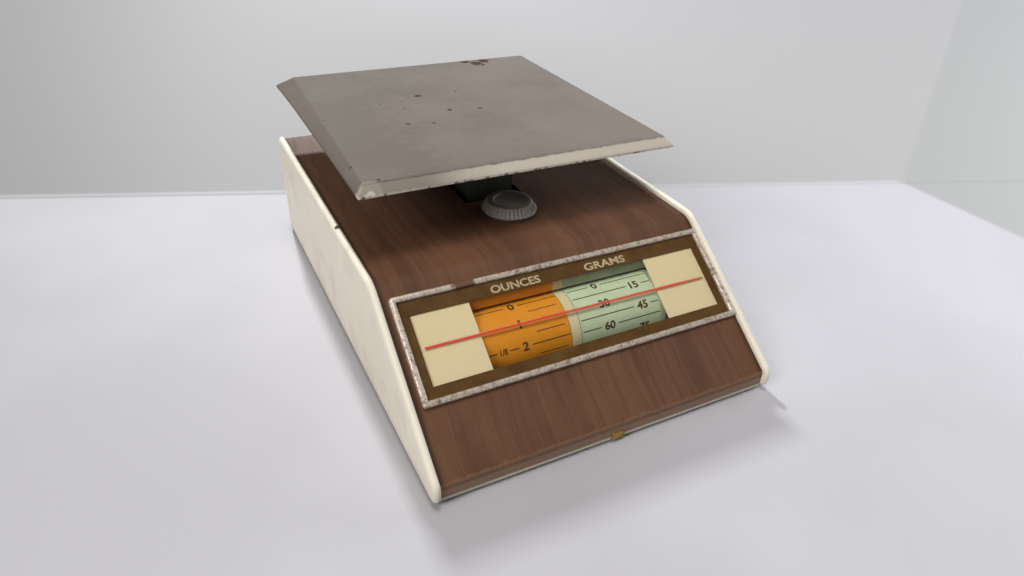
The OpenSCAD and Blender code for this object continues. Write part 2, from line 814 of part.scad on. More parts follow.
module sector_rivets() {
    color("silver") for (y = sector_rivet_ys) translate([arm_x - arm_t / 2, y, pivot_z])
        rotate([0, 90, 0]) rivet(arm_t + sector_t);
}

// Stay and pan

// Flat link with an eye rolled at each end
module stay_link() {
    color("lightgray") difference() {
        union() {
            translate([-stay_w / 2, pan_cy, stay_z - stay_t / 2]) cube([stay_w, pivot_y - pan_cy, stay_t]);
            at_stay_front() rod(stay_eye_r, -stay_w / 2, stay_w / 2);
            at_stay_back() rod(stay_eye_r, -stay_w / 2, stay_w / 2);
        }
        at_stay_front() rod(rod_r + run_gap, -stay_w, stay_w);
        at_stay_back() rod(rod_r + run_gap, -stay_w, stay_w);
    }
}

// The cheeks reach below the lever's rod; the front face starts above the stay
cheek_lap = 5;
web_room = 7;
post_low = pivot_z - cheek_lap;
post_web_low = stay_z + web_room;

// Folded channel, open at the back: a front face and two cheeks, through the hole in the deck
module pan_post() {
    cheek_l = post_lead + post_tail;
    color("slategray") difference() {
        union() {
            translate([-post_w / 2, post_y, post_web_low]) cube([post_w, post_t, post_top - post_web_low]);
            both_sides() translate([post_w / 2 - post_t, post_y, post_web_low])
                cube([post_t, cheek_l, post_top - post_web_low]);
            both_sides() translate([post_w / 2 - post_t, pan_cy - post_tail, post_low])
                cube([post_t, 2 * post_tail, post_top - post_low]);
        }
        at_carrier() rod(rod_r + run_gap, -post_w, post_w);
        at_stay_front() rod(rod_r + seat_gap, -post_w, post_w);
        for (x = rivet_xs) translate([x, post_y - 1, rivet_z]) rotate([-90, 0, 0])
            cylinder(r = rivet_r + seat_gap, h = post_t + 2);
    }
}

module stay_pin() {
    half = post_w / 2 + pin_end;
    color("silver") at_stay_front() rod(rod_r, -half, half);
}

rivet_xs = [-post_w / 4, post_w / 4];
rivet_z = post_top - apron_h / 2;

// Plate under the pan with a flared apron that laps the post's front face
module pan_bracket() {
    front = post_y - post_t;
    depth = post_lead + post_tail + 2 * post_t;
    color("slategray") difference() {
        union() {
            translate([-pan_bracket_w / 2, front, post_top]) cube([pan_bracket_w, depth, post_t]);
            translate([0, front + post_t, 0]) rotate([90, 0, 0]) linear_extrude(post_t) polygon([
                [-post_w / 2, post_top - apron_h], [post_w / 2, post_top - apron_h],
                [pan_bracket_w / 2, post_top + post_t / 2], [-pan_bracket_w / 2, post_top + post_t / 2]]);
        }
        for (x = rivet_xs) translate([x, front - 1, rivet_z]) rotate([-90, 0, 0])
            cylinder(r = rivet_r + seat_gap, h = post_t + 2);
    }
}

module post_rivets() {
    color("silver") for (x = rivet_xs) translate([x, post_y - post_t, rivet_z])
        rotate([-90, 0, 0]) rivet(2 * post_t);
}

// Square plate of a given size, centred on the pan's middle
module pan_slab(w, z, h) { translate([-w / 2, pan_cy - w / 2, z]) cube([w, w, h]); }

// Bevelled form of the pan; the inner one is cut out of the outer one
module pan_form(w, top, rim_low) {
    flat = w - 2 * bevel_w;
    hull() {
        pan_slab(w, rim_low, pan_z - bevel_drop - rim_low + top - pan_z);
        pan_slab(flat, top - 0.01, 0.01);
    }
}

module pan() {
    color("rosybrown") difference() {
        pan_form(pan_w, pan_z, pan_z - bevel_drop - pan_t);
        pan_form(pan_w - 2 * pan_t, pan_under, pan_z - bevel_drop - pan_t - 1);
    }
}

// Zero setting

// The knob's foot tapers in below its widest ring; the flutes are set in a step above that ring.
// Then its sunk top and the roof over its bore
skirt_h = 1.6;
skirt_taper = 1.4;
skirt_step = 0.2;
skirt_sink = 0.1;
cap_inset = 2.4;
cap_sink = 0.6;
bore_roof = 2;
bore_h = knob_h - bore_roof;

// Fluted, tapered knob, bored for its screw
module zero_knob() {
    turn = 360 / knob_flutes;
    flute_r = knob_r - skirt_step;
    outline = [for (i = [0:knob_flutes - 1], k = [0:3]) let(
        a = (i + k / 4) * turn,
        r = flute_r - (k < 2 ? 0 : flute_d)) [r * cos(a), r * sin(a)]];
    color("gray") at_knob() translate([0, 0, zero_top]) difference() {
        union() {
            cylinder(r1 = knob_r - skirt_taper, r2 = knob_r, h = skirt_h);
            translate([0, 0, skirt_h - skirt_sink])
                linear_extrude(knob_h - skirt_h + skirt_sink, scale = knob_top_r / flute_r)
                    polygon(outline);
        }
        translate([0, 0, -1]) cylinder(r = zero_r + seat_gap, h = bore_h + 1);
        translate([0, 0, knob_h - cap_sink]) cylinder(r = knob_top_r - cap_inset, h = 1);
    }
}

module zero_screw() {
    low = zero_low + 1;
    color("silver") at_knob() translate([0, 0, low])
        cylinder(r = zero_r, h = zero_top + bore_h - fit_gap - low);
}

module zero_clip() {
    top = deck_under - bracket_t - fit_gap;
    color("dimgray") at_knob() translate([0, 0, top - ring_t]) difference() {
        cylinder(r = zero_r + ring_w, h = ring_t);
        translate([0, 0, -1]) cylinder(r = zero_r + seat_gap, h = ring_t + 2);
    }
}

// Block threaded on the zero screw, kept from turning by the bracket
module spring_nut() {
    color("gold") at_knob() translate([0, 0, nut_z]) difference() {
        translate([-nut_l / 2, -nut_w / 2, 0]) cube([nut_l, nut_w, nut_h]);
        translate([0, 0, -1]) cylinder(r = zero_r + run_gap, h = nut_h + 2);
    }
}

// The spring's centre line: coils round the zero screw, then a leg to a loop round the spring bar
wire_seat = 0.05;
coil_gap = 0.45;
coil_top = nut_z - wire_r - wire_seat;
coil_low = coil_top - coils * (2 * wire_r + coil_gap);
loop_r = rod_r + wire_r + wire_seat;
coil_steps = 10;
leg_steps = 6;
leg_drop = 3;

function spring_path() = concat(
    [for (i = [0:coils * coil_steps]) let(a = 360 * i / coil_steps, f = i / (coils * coil_steps))
        [coil_r * cos(a), coil_r * sin(a), coil_top + (coil_low - coil_top) * f]],
    [for (i = [1:leg_steps]) let(f = i / leg_steps, a = 60 * f, r = coil_r * (1 - f) + 0.01)
        [r * cos(a), r * sin(a), coil_low - leg_drop * f]],
    [for (i = [0:9]) let(a = 90 - 30 * i) [0, loop_r * cos(a), pivot_z + loop_r * sin(a)]]);

function unit(v) = v / norm(v);

// Frames carried along the path without twist: each holds a side direction square to the path
function frames(p, i, side) = i == len(p) ? [] :
    let(along = unit(p[min(i + 1, len(p) - 1)] - p[max(i - 1, 0)]),
        s = unit(side - (side * along) * along))
    concat([[s, cross(along, s)]], frames(p, i + 1, s));

// Tube of six sides swept along a path
module wire(path, r) {
    sides = 6;
    f = frames(path, 0, [0, 0, 1]);
    n = len(path);
    points = [for (i = [0:n - 1], k = [0:sides - 1]) let(a = 360 * k / sides)
        path[i] + r * cos(a) * f[i][0] + r * sin(a) * f[i][1]];
    skin = [for (i = [0:n - 2], k = [0:sides - 1]) let(
        a = i * sides + k,
        b = i * sides + (k + 1) % sides)
        each [[a, a + sides, b], [b, a + sides, b + sides]]];
    caps = [for (k = [1:sides - 2]) each [
        [0, k, k + 1],
        [(n - 1) * sides, (n - 1) * sides + k + 1, (n - 1) * sides + k]]];
    polyhedron(concat(points, []), concat(skin, caps));
}

// Least gap between the spring's wire and itself, past the nearest points of the same turn
function least_gap(p) = min([for (i = [0:len(p) - 1], j = [i + 6:1:len(p) - 1]) norm(p[i] - p[j])])
    - 2 * wire_r;

module balance_spring() {
    echo(spring_least_gap = least_gap(spring_path()));
    color("silver") at_knob() wire(spring_path(), wire_r);
}

left_side_panel();
right_side_panel();
wood_cover();
back_panel();
base_plate();
front_catch();
window_rim();
window_band();
window_lens();
index_line();
left_dial_mask();
right_dial_mask();
left_drum_bracket();
right_drum_bracket();
drum_bushes();
left_pivot_bracket();
right_pivot_bracket();
pivot_bushes();
stay_bracket();
stay_shaft();
zero_bracket();
travel_stops();
rubber_feet();
base_screws();
drum_shell();
drum_end_left();
drum_end_right();
dial_chart();
drum_shaft();
pinion();
drum_clips();
lever_arm_left();
lever_arm_right();
pivot_shaft();
carrier_shaft();
spring_bar();
sector_gear();
sector_rivets();
pivot_clips();
stay_link();
pan_post();
stay_pin();
pan_bracket();
post_rivets();
pan();
zero_knob();
zero_screw();
zero_clip();
spring_nut();
balance_spring();
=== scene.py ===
import bpy
import bmesh
from math import atan2, cos, pi, radians, sin, tan
from mathutils import Matrix, Vector


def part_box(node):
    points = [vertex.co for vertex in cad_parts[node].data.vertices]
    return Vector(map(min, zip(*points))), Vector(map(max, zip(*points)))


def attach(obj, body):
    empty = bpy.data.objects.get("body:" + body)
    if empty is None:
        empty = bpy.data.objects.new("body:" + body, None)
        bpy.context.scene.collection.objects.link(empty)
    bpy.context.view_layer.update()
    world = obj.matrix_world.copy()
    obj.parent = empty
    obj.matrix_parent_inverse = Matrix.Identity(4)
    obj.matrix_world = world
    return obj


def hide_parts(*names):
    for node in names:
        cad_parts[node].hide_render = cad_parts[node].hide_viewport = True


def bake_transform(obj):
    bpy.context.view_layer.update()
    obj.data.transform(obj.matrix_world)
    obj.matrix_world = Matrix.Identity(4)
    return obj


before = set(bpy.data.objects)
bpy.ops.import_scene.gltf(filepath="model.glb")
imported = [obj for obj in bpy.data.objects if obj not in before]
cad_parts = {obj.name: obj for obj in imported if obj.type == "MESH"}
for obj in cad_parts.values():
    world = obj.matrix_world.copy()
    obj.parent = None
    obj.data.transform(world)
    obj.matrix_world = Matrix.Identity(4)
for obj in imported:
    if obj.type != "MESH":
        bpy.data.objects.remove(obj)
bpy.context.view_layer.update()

# --- The room ---------------------------------------------------------------------------------
# The scale stands on a smooth white table, photographed from above its left front corner. Grey
# boards lie past the table's edge. Light comes from overhead, from both sides, and from a small
# window far behind, which throws the pan's shadow forward.

camera_place = (-0.116185, -0.227596, 0.171544)
camera_yaw, camera_pitch, camera_roll = radians(-28.996), radians(-33.387), radians(3.347)
ahead = Vector((-sin(camera_yaw) * cos(camera_pitch), cos(camera_yaw) * cos(camera_pitch),
    sin(camera_pitch)))
level_right = ahead.cross(Vector((0, 0, 1))).normalized()
level_up = level_right.cross(ahead)
right = cos(camera_roll) * level_right + sin(camera_roll) * level_up
up = cos(camera_roll) * level_up - sin(camera_roll) * level_right
camera_lens = bpy.data.cameras.new("camera")
camera_lens.sensor_width = 36
camera_lens.lens = 24.498
camera_lens.clip_start = 0.01
camera = bpy.data.objects.new("camera", camera_lens)
camera.matrix_world = Matrix.Translation(camera_place) @ Matrix(
    (right, up, -ahead)).transposed().to_4x4()
bpy.context.scene.collection.objects.link(camera)
bpy.context.scene.camera = camera
bpy.context.scene.view_settings.view_transform = "Standard"

lamp_aim = Vector((0, 0, 0.03))


def soft_lamp(name, place, side, watts, tint):
    """A square lamp that shines on the scale."""
    lamp = bpy.data.lights.new(name, "AREA")
    lamp.shape = "SQUARE"
    lamp.size = side
    lamp.energy = watts
    lamp.color = tint
    holder = bpy.data.objects.new(name, lamp)
    holder.location = place
    holder.rotation_euler = (lamp_aim - Vector(place)).to_track_quat("-Z", "Y").to_euler()
    bpy.context.scene.collection.objects.link(holder)


soft_lamp("overhead_light", (-0.1, -0.1, 2.2), 0.7, 21, (1, 0.96, 0.91))
soft_lamp("window_light", (0.1, 1.9, 1.55), 0.15, 51, (0.95, 0.97, 1))
soft_lamp("left_fill", (-1.7, -0.55, 1.4), 0.9, 27, (1, 0.98, 0.95))
soft_lamp("right_fill", (2.3, 0.2, 0.75), 1.2, 24, (0.95, 0.97, 1))


def paint(red, green, blue):
    """A colour as seen on a screen, 0 to 255, turned into the light that it stands for."""
    def part(v):
        v /= 255
        return v / 12.92 if v <= 0.04045 else ((v + 0.055) / 1.055) ** 2.4
    return part(red), part(green), part(blue), 1


class Wire:
    """A socket in a tree of nodes. Sums on it add the nodes that work them out."""

    def __init__(self, tree, socket):
        self.tree = tree
        self.socket = socket

    def sum(self, operation, first, second):
        places = any(isinstance(v, tuple) or isinstance(v, Wire) and v.socket.type == "VECTOR"
            for v in (first, second))
        kind = "VectorMath" if places else "Math"
        return self.tree.node(kind, {"operation": operation}, {0: first, 1: second})

    def __add__(self, other):
        return self.sum("ADD", self, other)

    def __radd__(self, other):
        return self.sum("ADD", other, self)

    def __sub__(self, other):
        return self.sum("SUBTRACT", self, other)

    def __rsub__(self, other):
        return self.sum("SUBTRACT", other, self)

    def __mul__(self, other):
        return self.sum("MULTIPLY", self, other)

    def __rmul__(self, other):
        return self.sum("MULTIPLY", other, self)

    def __abs__(self):
        return self.tree.node("Math", {"operation": "ABSOLUTE"}, {0: self})


class Nodes:
    """A tree of nodes, such as the room's air or a finish. All but sums come from node()."""

    def __init__(self, tree):
        self.tree = tree

    def plug(self, socket, value):
        """Links a wire to a socket, or sets the socket to a number, a place or a colour."""
        if isinstance(value, Wire):
            self.tree.links.new(value.socket, socket)
            return
        if socket.type == "VECTOR" and isinstance(value, (int, float)):
            value = (value,) * 3
        socket.default_value = value

    def node(self, kind, settings=None, values=None, take=0):
        """A node with its settings, then what its sockets get; gives the output to take."""
        made = self.tree.nodes.new("ShaderNode" + kind)
        for key, value in (settings or {}).items():
            if key == "stops":
                ramp = made.color_ramp.elements
                while len(ramp) < len(value):
                    ramp.new(0.5)
                for stop, (at, colour) in zip(ramp, value):
                    stop.position, stop.color = at, colour
            else:
                setattr(made, key, value)
        for key, value in (values or {}).items():
            self.plug(made.inputs[key], value)
        return Wire(self, made.outputs[take])

    def seen(self):
        """1 for the eye, and for what gloss and clear plastic show; 0 for light that falls."""
        return (self.node("LightPath", take="Is Camera Ray")
            + self.node("LightPath", take="Is Glossy Ray")
            + self.node("LightPath", take="Is Transmission Ray"))

    def shades(self, value, *stops):
        """Colours along a ramp, each as (where, colour)."""
        return self.node("ValToRGB", {"stops": stops}, {0: value})

    def blend(self, amount, first, second):
        """The first colour where the amount is 0, the second where it is 1."""
        return self.node("Mix", {"data_type": "RGBA"}, {0: amount, 6: first, 7: second}, 2)


class Finish(Nodes):
    """A finish worked out over the piece. Its x, y and z are the place in millimetres."""

    def __init__(self, name, **constants):
        self.material = bpy.data.materials.new(name)
        self.material.use_nodes = True
        super().__init__(self.material.node_tree)
        self.tree.nodes.clear()
        self.shader = self.tree.nodes.new("ShaderNodeBsdfPrincipled")
        self.end = self.tree.nodes.new("ShaderNodeOutputMaterial")
        self.tree.links.new(self.shader.outputs[0], self.end.inputs[0])
        for socket, value in constants.items():
            self.plug(self.shader.inputs[socket.replace("_", " ")], value)
        self.place = self.node("TexCoord", take="Object") * 1000
        self.x, self.y, self.z = (
            self.node("SeparateXYZ", values={0: self.place}, take=i) for i in range(3))

    def cloud(self, size, detail=2, stretch=(1, 1, 1), shift=0, rough=0.5):
        """A cloudy pattern from 0 to 1, with patches of about that size in millimetres."""
        return self.node("TexNoise", values={
            "Vector": self.place * stretch + (shift, -shift, shift), "Scale": 1 / size,
            "Detail": detail, "Roughness": rough})

    def rise(self, value, low, high):
        """0 where the value is under low, 1 where it is over high."""
        return self.node("MapRange", {"interpolation_type": "SMOOTHSTEP"},
            {0: value, 1: low, 2: high})

    def spot(self, place, radius, ragged, size):
        """1 inside a ragged patch at a place in millimetres, 0 outside."""
        away = self.node(
            "VectorMath", {"operation": "DISTANCE"}, {0: self.place, 1: place}, "Value")
        edge = away + (self.cloud(size, 4, shift=place[0]) - 0.5) * (4 * ragged * radius)
        return 1 - self.rise(edge, radius * 0.75, radius * 1.1)

    def wear(self, colour=None, roughness=None, bump=None, height=0.1, **others):
        """Plugs in what changes over the surface; bump is a height in millimetres."""
        if colour is not None:
            self.plug(self.shader.inputs["Base Color"], colour)
        if roughness is not None:
            self.plug(self.shader.inputs["Roughness"], roughness)
        if bump is not None:
            self.plug(self.shader.inputs["Normal"], self.node("Bump",
                values={"Height": bump, "Strength": 1, "Distance": height / 1000}))
        for socket, value in others.items():
            self.plug(self.shader.inputs[socket.replace("_", " ")], value)


# The room is pale at the level of the table and dim towards the ceiling. The eye and the gloss
# see that, while its light on the object is even.
room = bpy.data.worlds.new("room")
room.use_nodes = True
room_air = Nodes(room.node_tree)
pale_room = (0.62, 0.61, 0.6, 1)
dim_ceiling = (0.055, 0.053, 0.05, 1)
even_light = (0.15, 0.145, 0.14, 1)
height = room_air.node(
    "SeparateXYZ", values={0: room_air.node("TexCoord", take="Generated")}, take=2)
backdrop = room_air.shades(height, (0.18, pale_room), (0.45, dim_ceiling))
room_air.plug(room.node_tree.nodes["Background"].inputs["Color"],
    room_air.blend(room_air.seen(), even_light, backdrop))
bpy.context.scene.world = room

# The table top and the boards are painted on one flat sheet. One board lies behind the scale,
# along a line askew to it, and one to the right, with a joint between its front and back parts.
back_board_at, side_board_at, joint_at, soft_edge = 104, 285, -168, 6
table_top = Finish("table_top", Roughness=0.6, Specular_IOR_Level=0.3)
past_table = table_top.x * 0.327 + table_top.y * 0.945 - back_board_at
back_board = table_top.rise(past_table, 0, soft_edge)
side_board = table_top.rise(table_top.x, side_board_at, side_board_at + soft_edge)
front_part = 1 - table_top.rise(
    table_top.y - table_top.x * 0.613, joint_at, joint_at + soft_edge)
# The back board is painted darker towards the left and lighter towards the right: painted light.
back_grey_painted_light = table_top.blend(
    table_top.rise(table_top.x, -250, 350), paint(126, 125, 125), paint(168, 167, 169))
board_grey = table_top.blend(side_board * front_part, back_grey_painted_light, paint(160, 162, 163))
# The cloth is painted lighter towards the right: painted light.
cloth_with_painted_light = table_top.shades(table_top.cloud(160, 4) + table_top.x * 0.0012,
    (0.3, paint(165, 164, 169)), (0.9, paint(187, 187, 194)))
table_edge = (1 - table_top.rise(abs(past_table), 0.8, 2.2)) * (
    1 - table_top.rise(table_top.x, -40, 60) * 0.7)
surface = table_top.blend(1 - (1 - back_board) * (1 - side_board), cloth_with_painted_light, board_grey)
table_top.wear(table_top.blend(table_edge * 0.5, surface, paint(120, 116, 112)),
    bump=table_top.cloud(0.6, 3), height=0.01)
# Far from the lamps, the eye sees the sheet pass into the pale room.
from_scale = table_top.node("VectorMath", {"operation": "LENGTH"}, {0: table_top.place}, "Value")
far_off = table_top.rise(from_scale, 1000, 1900)
table_top.plug(table_top.end.inputs[0], table_top.node("MixShader", values={
    0: far_off * table_top.seen(), 1: Wire(table_top, table_top.shader.outputs[0]),
    2: table_top.node("Emission", values={"Color": pale_room})}))
table_reach = 3
table_mesh = bpy.data.meshes.new("table")
table_mesh.from_pydata([(x * table_reach, y * table_reach, 0)
    for x, y in ((-1, -1), (1, -1), (1, 1), (-1, 1))], [], [range(4)])
table_mesh.materials.append(table_top.material)
table = bpy.data.objects.new("table", table_mesh)
bpy.context.scene.collection.objects.link(table)

# --- Side panels ------------------------------------------------------------------------------
# Two moulded plates of cream plastic, one at each side, with softly rounded edges that stand
# proud of the wood-grain cover. A ledge inside carries the cover; screws go up into two bosses.

panel_t = 2.6
inner_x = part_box("right_side_panel")[1].x * 1000 - panel_t
cover_low, cover_high = (corner * 1000 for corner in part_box("wood_cover"))
lip_y, back_y, deck_z = cover_low.y, cover_high.y, cover_high.z
lip_top_z, lip_bend, knee_run, knee_bend = 7.9, 2, 55.5, 10
slope_turn = atan2(deck_z - lip_top_z, knee_run)
slope_up = Vector((0, cos(slope_turn), sin(slope_turn)))
slope_out = Vector((0, -sin(slope_turn), cos(slope_turn)))


def on_slope(x, along, out=0):
    """A place on the slope: across, up the slope from the lip, and out of the cover."""
    return Vector((x, lip_y, lip_top_z)) + slope_up * along + slope_out * out


def bend(y, z, radius, start, stop, steps):
    """Points (y, z, outward y, outward z) round a bend."""
    turns = (start + (stop - start) * i / steps for i in range(steps + 1))
    return [(y + radius * cos(t), z + radius * sin(t), cos(t), sin(t)) for t in turns]


def lip_and_knee(lip_steps, knee_steps):
    """The line of the cover seen from the side, as its two bends."""
    lip_half = lip_bend * tan((pi / 2 - slope_turn) / 2)
    knee_half = knee_bend * tan(slope_turn / 2)
    on_slope_turn = pi / 2 + slope_turn
    return (bend(lip_y + lip_bend, lip_top_z - lip_half, lip_bend, pi, on_slope_turn, lip_steps),
        bend(lip_y + knee_run + knee_half, deck_z - knee_bend, knee_bend, on_slope_turn, pi / 2,
            knee_steps))


def shape(name, points, faces, finish, slot, body, stands_for=(), crease=35):
    """Makes a piece from points in millimetres and fixes it to its moving part, if one is given."""
    mesh = bpy.data.meshes.new(name)
    mesh.from_pydata([Vector(p) / 1000 for p in points], [], faces)
    work = bmesh.new()
    work.from_mesh(mesh)
    bmesh.ops.remove_doubles(work, verts=work.verts, dist=1e-7)
    bmesh.ops.dissolve_degenerate(work, edges=work.edges, dist=1e-7)
    bmesh.ops.recalc_face_normals(work, faces=work.faces)
    work.to_mesh(mesh)
    work.free()
    mesh.polygons.foreach_set("use_smooth", [True] * len(mesh.polygons))
    mesh.set_sharp_from_angle(angle=radians(crease))
    mesh.materials.append(finish.material)
    piece = bpy.data.objects.new(name, mesh)
    bpy.context.scene.collection.objects.link(piece)
    if body:
        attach(piece, body)
    if stands_for:
        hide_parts(*stands_for)
    return piece


def loft(rings):
    """Quads between rings of points, with flat ends."""
    count, last = len(rings[0]), (len(rings) - 1) * len(rings[0])
    faces = [(row + k, row + (k + 1) % count, row + count + (k + 1) % count, row + count + k)
        for row in range(0, last, count) for k in range(count)]
    faces += [tuple(range(count)), tuple(reversed(range(last, last + count)))]
    return [p for ring in rings for p in ring], faces


def join(*parts):
    """One list of points and faces from several."""
    points, faces = [], []
    for more_points, more_faces in parts:
        faces += [tuple(i + len(points) for i in face) for face in more_faces]
        points += list(more_points)
    return points, faces


def block(low, high):
    """A plain block between two of its corners."""
    x0, y0, z0 = low
    x1, y1, z1 = high
    return loft([[(x0, y0, z), (x1, y0, z), (x1, y1, z), (x0, y1, z)] for z in (z0, z1)])


def disc(x, y, section, steps=24):
    """A round piece that stands upright, from (radius, height) pairs."""
    return loft([[(x + radius * cos(2 * pi * k / steps), y + radius * sin(2 * pi * k / steps), z)
        for k in range(steps)] for radius, z in section])


cream = Finish("cream_plastic", Specular_IOR_Level=0.42)
dust = cream.cloud(28, 4) * 0.7 + cream.cloud(5, 3) * 0.3
hand_grime = cream.rise(cream.cloud(16, 5, shift=40), 0.52, 0.72) * 0.35
# The cream is darker towards the bottom.
darker_low_down = (1 - cream.rise(cream.z + cream.cloud(9, 3) * 5, 3, 9)) * 0.45
moulding = cream.shades(dust, (0.35, paint(232, 224, 205)), (0.65, paint(238, 231, 215)))
soiled = cream.blend(hand_grime, moulding, paint(199, 190, 172))
soiled = cream.blend(darker_low_down, soiled, paint(186, 176, 156))
chip = cream.spot((-65.2, -3.2, 47.8), 1.5, 0.4, 1.2)
specks = cream.rise(cream.cloud(1.6, 2, shift=9), 0.735, 0.78) * 0.5
soiled = cream.blend(specks, soiled, paint(150, 132, 104))
cream.wear(cream.blend(chip, soiled, paint(62, 46, 34)), 0.36 + dust * 0.2,
    cream.cloud(0.35, 2) * 0.4 + cream.cloud(40, 2) + chip * -1.5, 0.12)

# The edge's roundness: how far in from the outline, and how far across the panel each line lies.
panel_edge = ((1.5, 0), (0.75, 0.12), (0.3, 0.45), (0, 1), (0.04, 1.4), (0.3, 1.95), (0.75, 2.3),
    (1.35, 2.5), (2.2, panel_t))
proud, panel_low = 2, 1
top_round, back_round, lip_round = 3, 2.6, 4
lip_line, knee_line = lip_and_knee(8, 24)
outline = [(y + proud * ny, z + proud * nz, ny, nz) for y, z, ny, nz in lip_line + knee_line]
outline += bend(back_y - top_round, deck_z + proud - top_round, top_round, pi / 2, 0, 6)
outline += bend(back_y - back_round, panel_low + back_round, back_round, 0, -pi / 2, 6)
outline += bend(lip_y - proud + lip_round, panel_low + lip_round, lip_round, -pi / 2, -pi, 8)
ledge_line = lip_line[5:] + knee_line + [(back_y - 3, deck_z, 0, 1)]
ledge_w, ledge_top, ledge_low = 2, 0.9, 2.3
boss_x, boss_places, boss_low = inner_x - 4.4, (lip_y + 12, back_y - 12), 2.4
boss_section = ((3.4, boss_low), (3.4, 11), (3, 11.4), (1.3, 11.4), (1.3, 6))
web_half, web_top = 1.7, 11.2

for side, name in ((-1, "left_side_panel"), (1, "right_side_panel")):
    plate = loft([[(side * (inner_x + across), y - ny * inset, z - nz * inset)
        for y, z, ny, nz in outline] for inset, across in panel_edge])
    ledge = loft([[(side * x, y - ny * depth, z - nz * depth) for x, depth in (
        (inner_x - ledge_w, ledge_top), (inner_x, ledge_top), (inner_x, ledge_low),
        (inner_x - ledge_w, ledge_low))] for y, z, ny, nz in ledge_line])
    bosses = [disc(side * boss_x, y, boss_section) for y in boss_places]
    web_x = sorted((side * boss_x, side * inner_x))
    webs = [block((web_x[0], y - web_half, boss_low), (web_x[1], y + web_half, web_top))
        for y in boss_places]
    shape(name + "_moulding", *join(plate, ledge, *bosses, *webs), cream, "cream_plastic", "case",
        (name,))

# --- Back panel, tray and feet ----------------------------------------------------------------
# A cream plate closes the back and a cream tray with turned-up sides closes the bottom.
# Four bright screws go through the tray, and four rubber discs are stuck on as feet.


def dress(finish, *names):
    """Gives a finish to pieces that are shown just as they were constructed."""
    for name in names:
        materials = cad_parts[name].data.materials
        materials.clear()
        materials.append(finish.material)


dress(cream, "back_panel", "base_plate")

rubber = Finish("black_rubber", Specular_IOR_Level=0.3)
rubber.wear(rubber.shades(rubber.cloud(3, 3), (0.3, paint(38, 37, 36)), (0.7, paint(58, 56, 54))),
    0.7 + rubber.cloud(2) * 0.2, rubber.cloud(0.4, 3), 0.05)
foot_x, foot_in, foot_section = 49, 24, ((4.65, 0), (5, 0.3), (5, 0.9), (4.7, 1.2))
feet = [disc(x, y, foot_section, 40) for x in (-foot_x, foot_x)
    for y in (lip_y + foot_in, back_y - foot_in)]
shape("rubber_discs", *join(*feet), rubber, "black_rubber", "case", ("rubber_feet",))

bright = Finish("bright_steel", Metallic=1.0)
brushed = bright.cloud(0.5, 3, (1, 0.08, 0.08))
bright.wear(bright.shades(brushed, (0.3, paint(176, 176, 174)), (0.7, paint(206, 206, 204))),
    0.26 + brushed * 0.2, brushed, 0.01)
dress(bright, "base_screws")

# --- Wood-grain cover -------------------------------------------------------------------------
# One sheet of steel with a printed walnut vinyl skin, folded into a lip, a slope and a deck.
# It is cut out for the dial's window, the pan's post and the zero screw.


def closed_sheet(outer, inner, faces):
    """A sheet between two skins of the same layout, closed along its edges and cut-outs."""
    count = len(outer)
    edges = dict.fromkeys(pair for face in faces for pair in zip(face, face[1:] + face[:1]))
    sides = [(a, b, b + count, a + count) for a, b in edges if (b, a) not in edges]
    backs = [tuple(i + count for i in reversed(face)) for face in faces]
    return outer + inner, faces + backs + sides


cover_t, cover_slack, lip_low_z = 0.8, 0.1, 2.8
window_cut_x, window_cut_along, mid_slope = (-57.6, 60), (28.4, 54.9), 12
post_gap_x, post_gap_y = 13, (0.75, 47.75)
knob_y, screw_cell, screw_hole, screw_steps = -11.75, 4, 2.5, 16

# The cover's line seen from the side, and its columns across, meet at the edges of the cut-outs.
cover_line = [(lip_y, lip_low_z, -1, 0)] + lip_line
cover_line += [(*on_slope(0, along).yz, *slope_out.yz) for along in (mid_slope, *window_cut_along)]
cover_line += knee_line + [(y, deck_z, 0, 1)
    for y in (knob_y - screw_cell, knob_y + screw_cell, *post_gap_y, back_y)]
slope_row = 1 + len(lip_line) + 1
deck_row = slope_row + 2 + len(knee_line)
cover_x = [cover_slack - inner_x, window_cut_x[0], -post_gap_x, -screw_cell, screw_cell, post_gap_x,
    window_cut_x[1], inner_x - cover_slack]
columns = len(cover_x)
outer_skin = [(x, y, z) for y, z, ny, nz in cover_line for x in cover_x]
inner_skin = [(x, y - ny * cover_t, z - nz * cover_t)
    for y, z, ny, nz in cover_line for x in cover_x]
cells = []
for row in range(len(cover_line) - 1):
    for column in range(columns - 1):
        over_window = row == slope_row and 1 <= column <= 5
        over_post = row == deck_row + 2 and 2 <= column <= 4
        over_screw = row == deck_row and column == 3
        if not (over_window or over_post or over_screw):
            a = row * columns + column
            cells.append((a, a + 1, a + columns + 1, a + columns))
# Round the screw's hole, one face runs from each side of the cell to a quarter of the circle.
corner = deck_row * columns + 3
square = (corner, corner + 1, corner + columns + 1, corner + columns)
circle, quarter = len(outer_skin), screw_steps // 4
for k in range(screw_steps):
    turn = 2 * pi * (k + quarter / 2) / screw_steps + pi
    place = (screw_hole * cos(turn), knob_y + screw_hole * sin(turn))
    outer_skin.append((*place, deck_z))
    inner_skin.append((*place, deck_z - cover_t))
for side in range(4):
    arc = [circle + (side * quarter + k) % screw_steps for k in range(quarter + 1)]
    cells.append((square[side], square[(side + 1) % 4], *reversed(arc)))

walnut = Finish("walnut_skin", Specular_IOR_Level=0.3)
wander = walnut.cloud(45, 2, (0.4, 1, 1)) * (9, 0, 0)
along_grain = walnut.place * (1, 0.03, 0.03) + wander


def grain(size, detail, shift=0, rough=0.55):
    """A pattern like cloud, drawn out from the lip to the back."""
    return walnut.node("TexNoise", values={"Vector": along_grain + (shift, 0, 0),
        "Scale": 1 / size, "Detail": detail, "Roughness": rough})


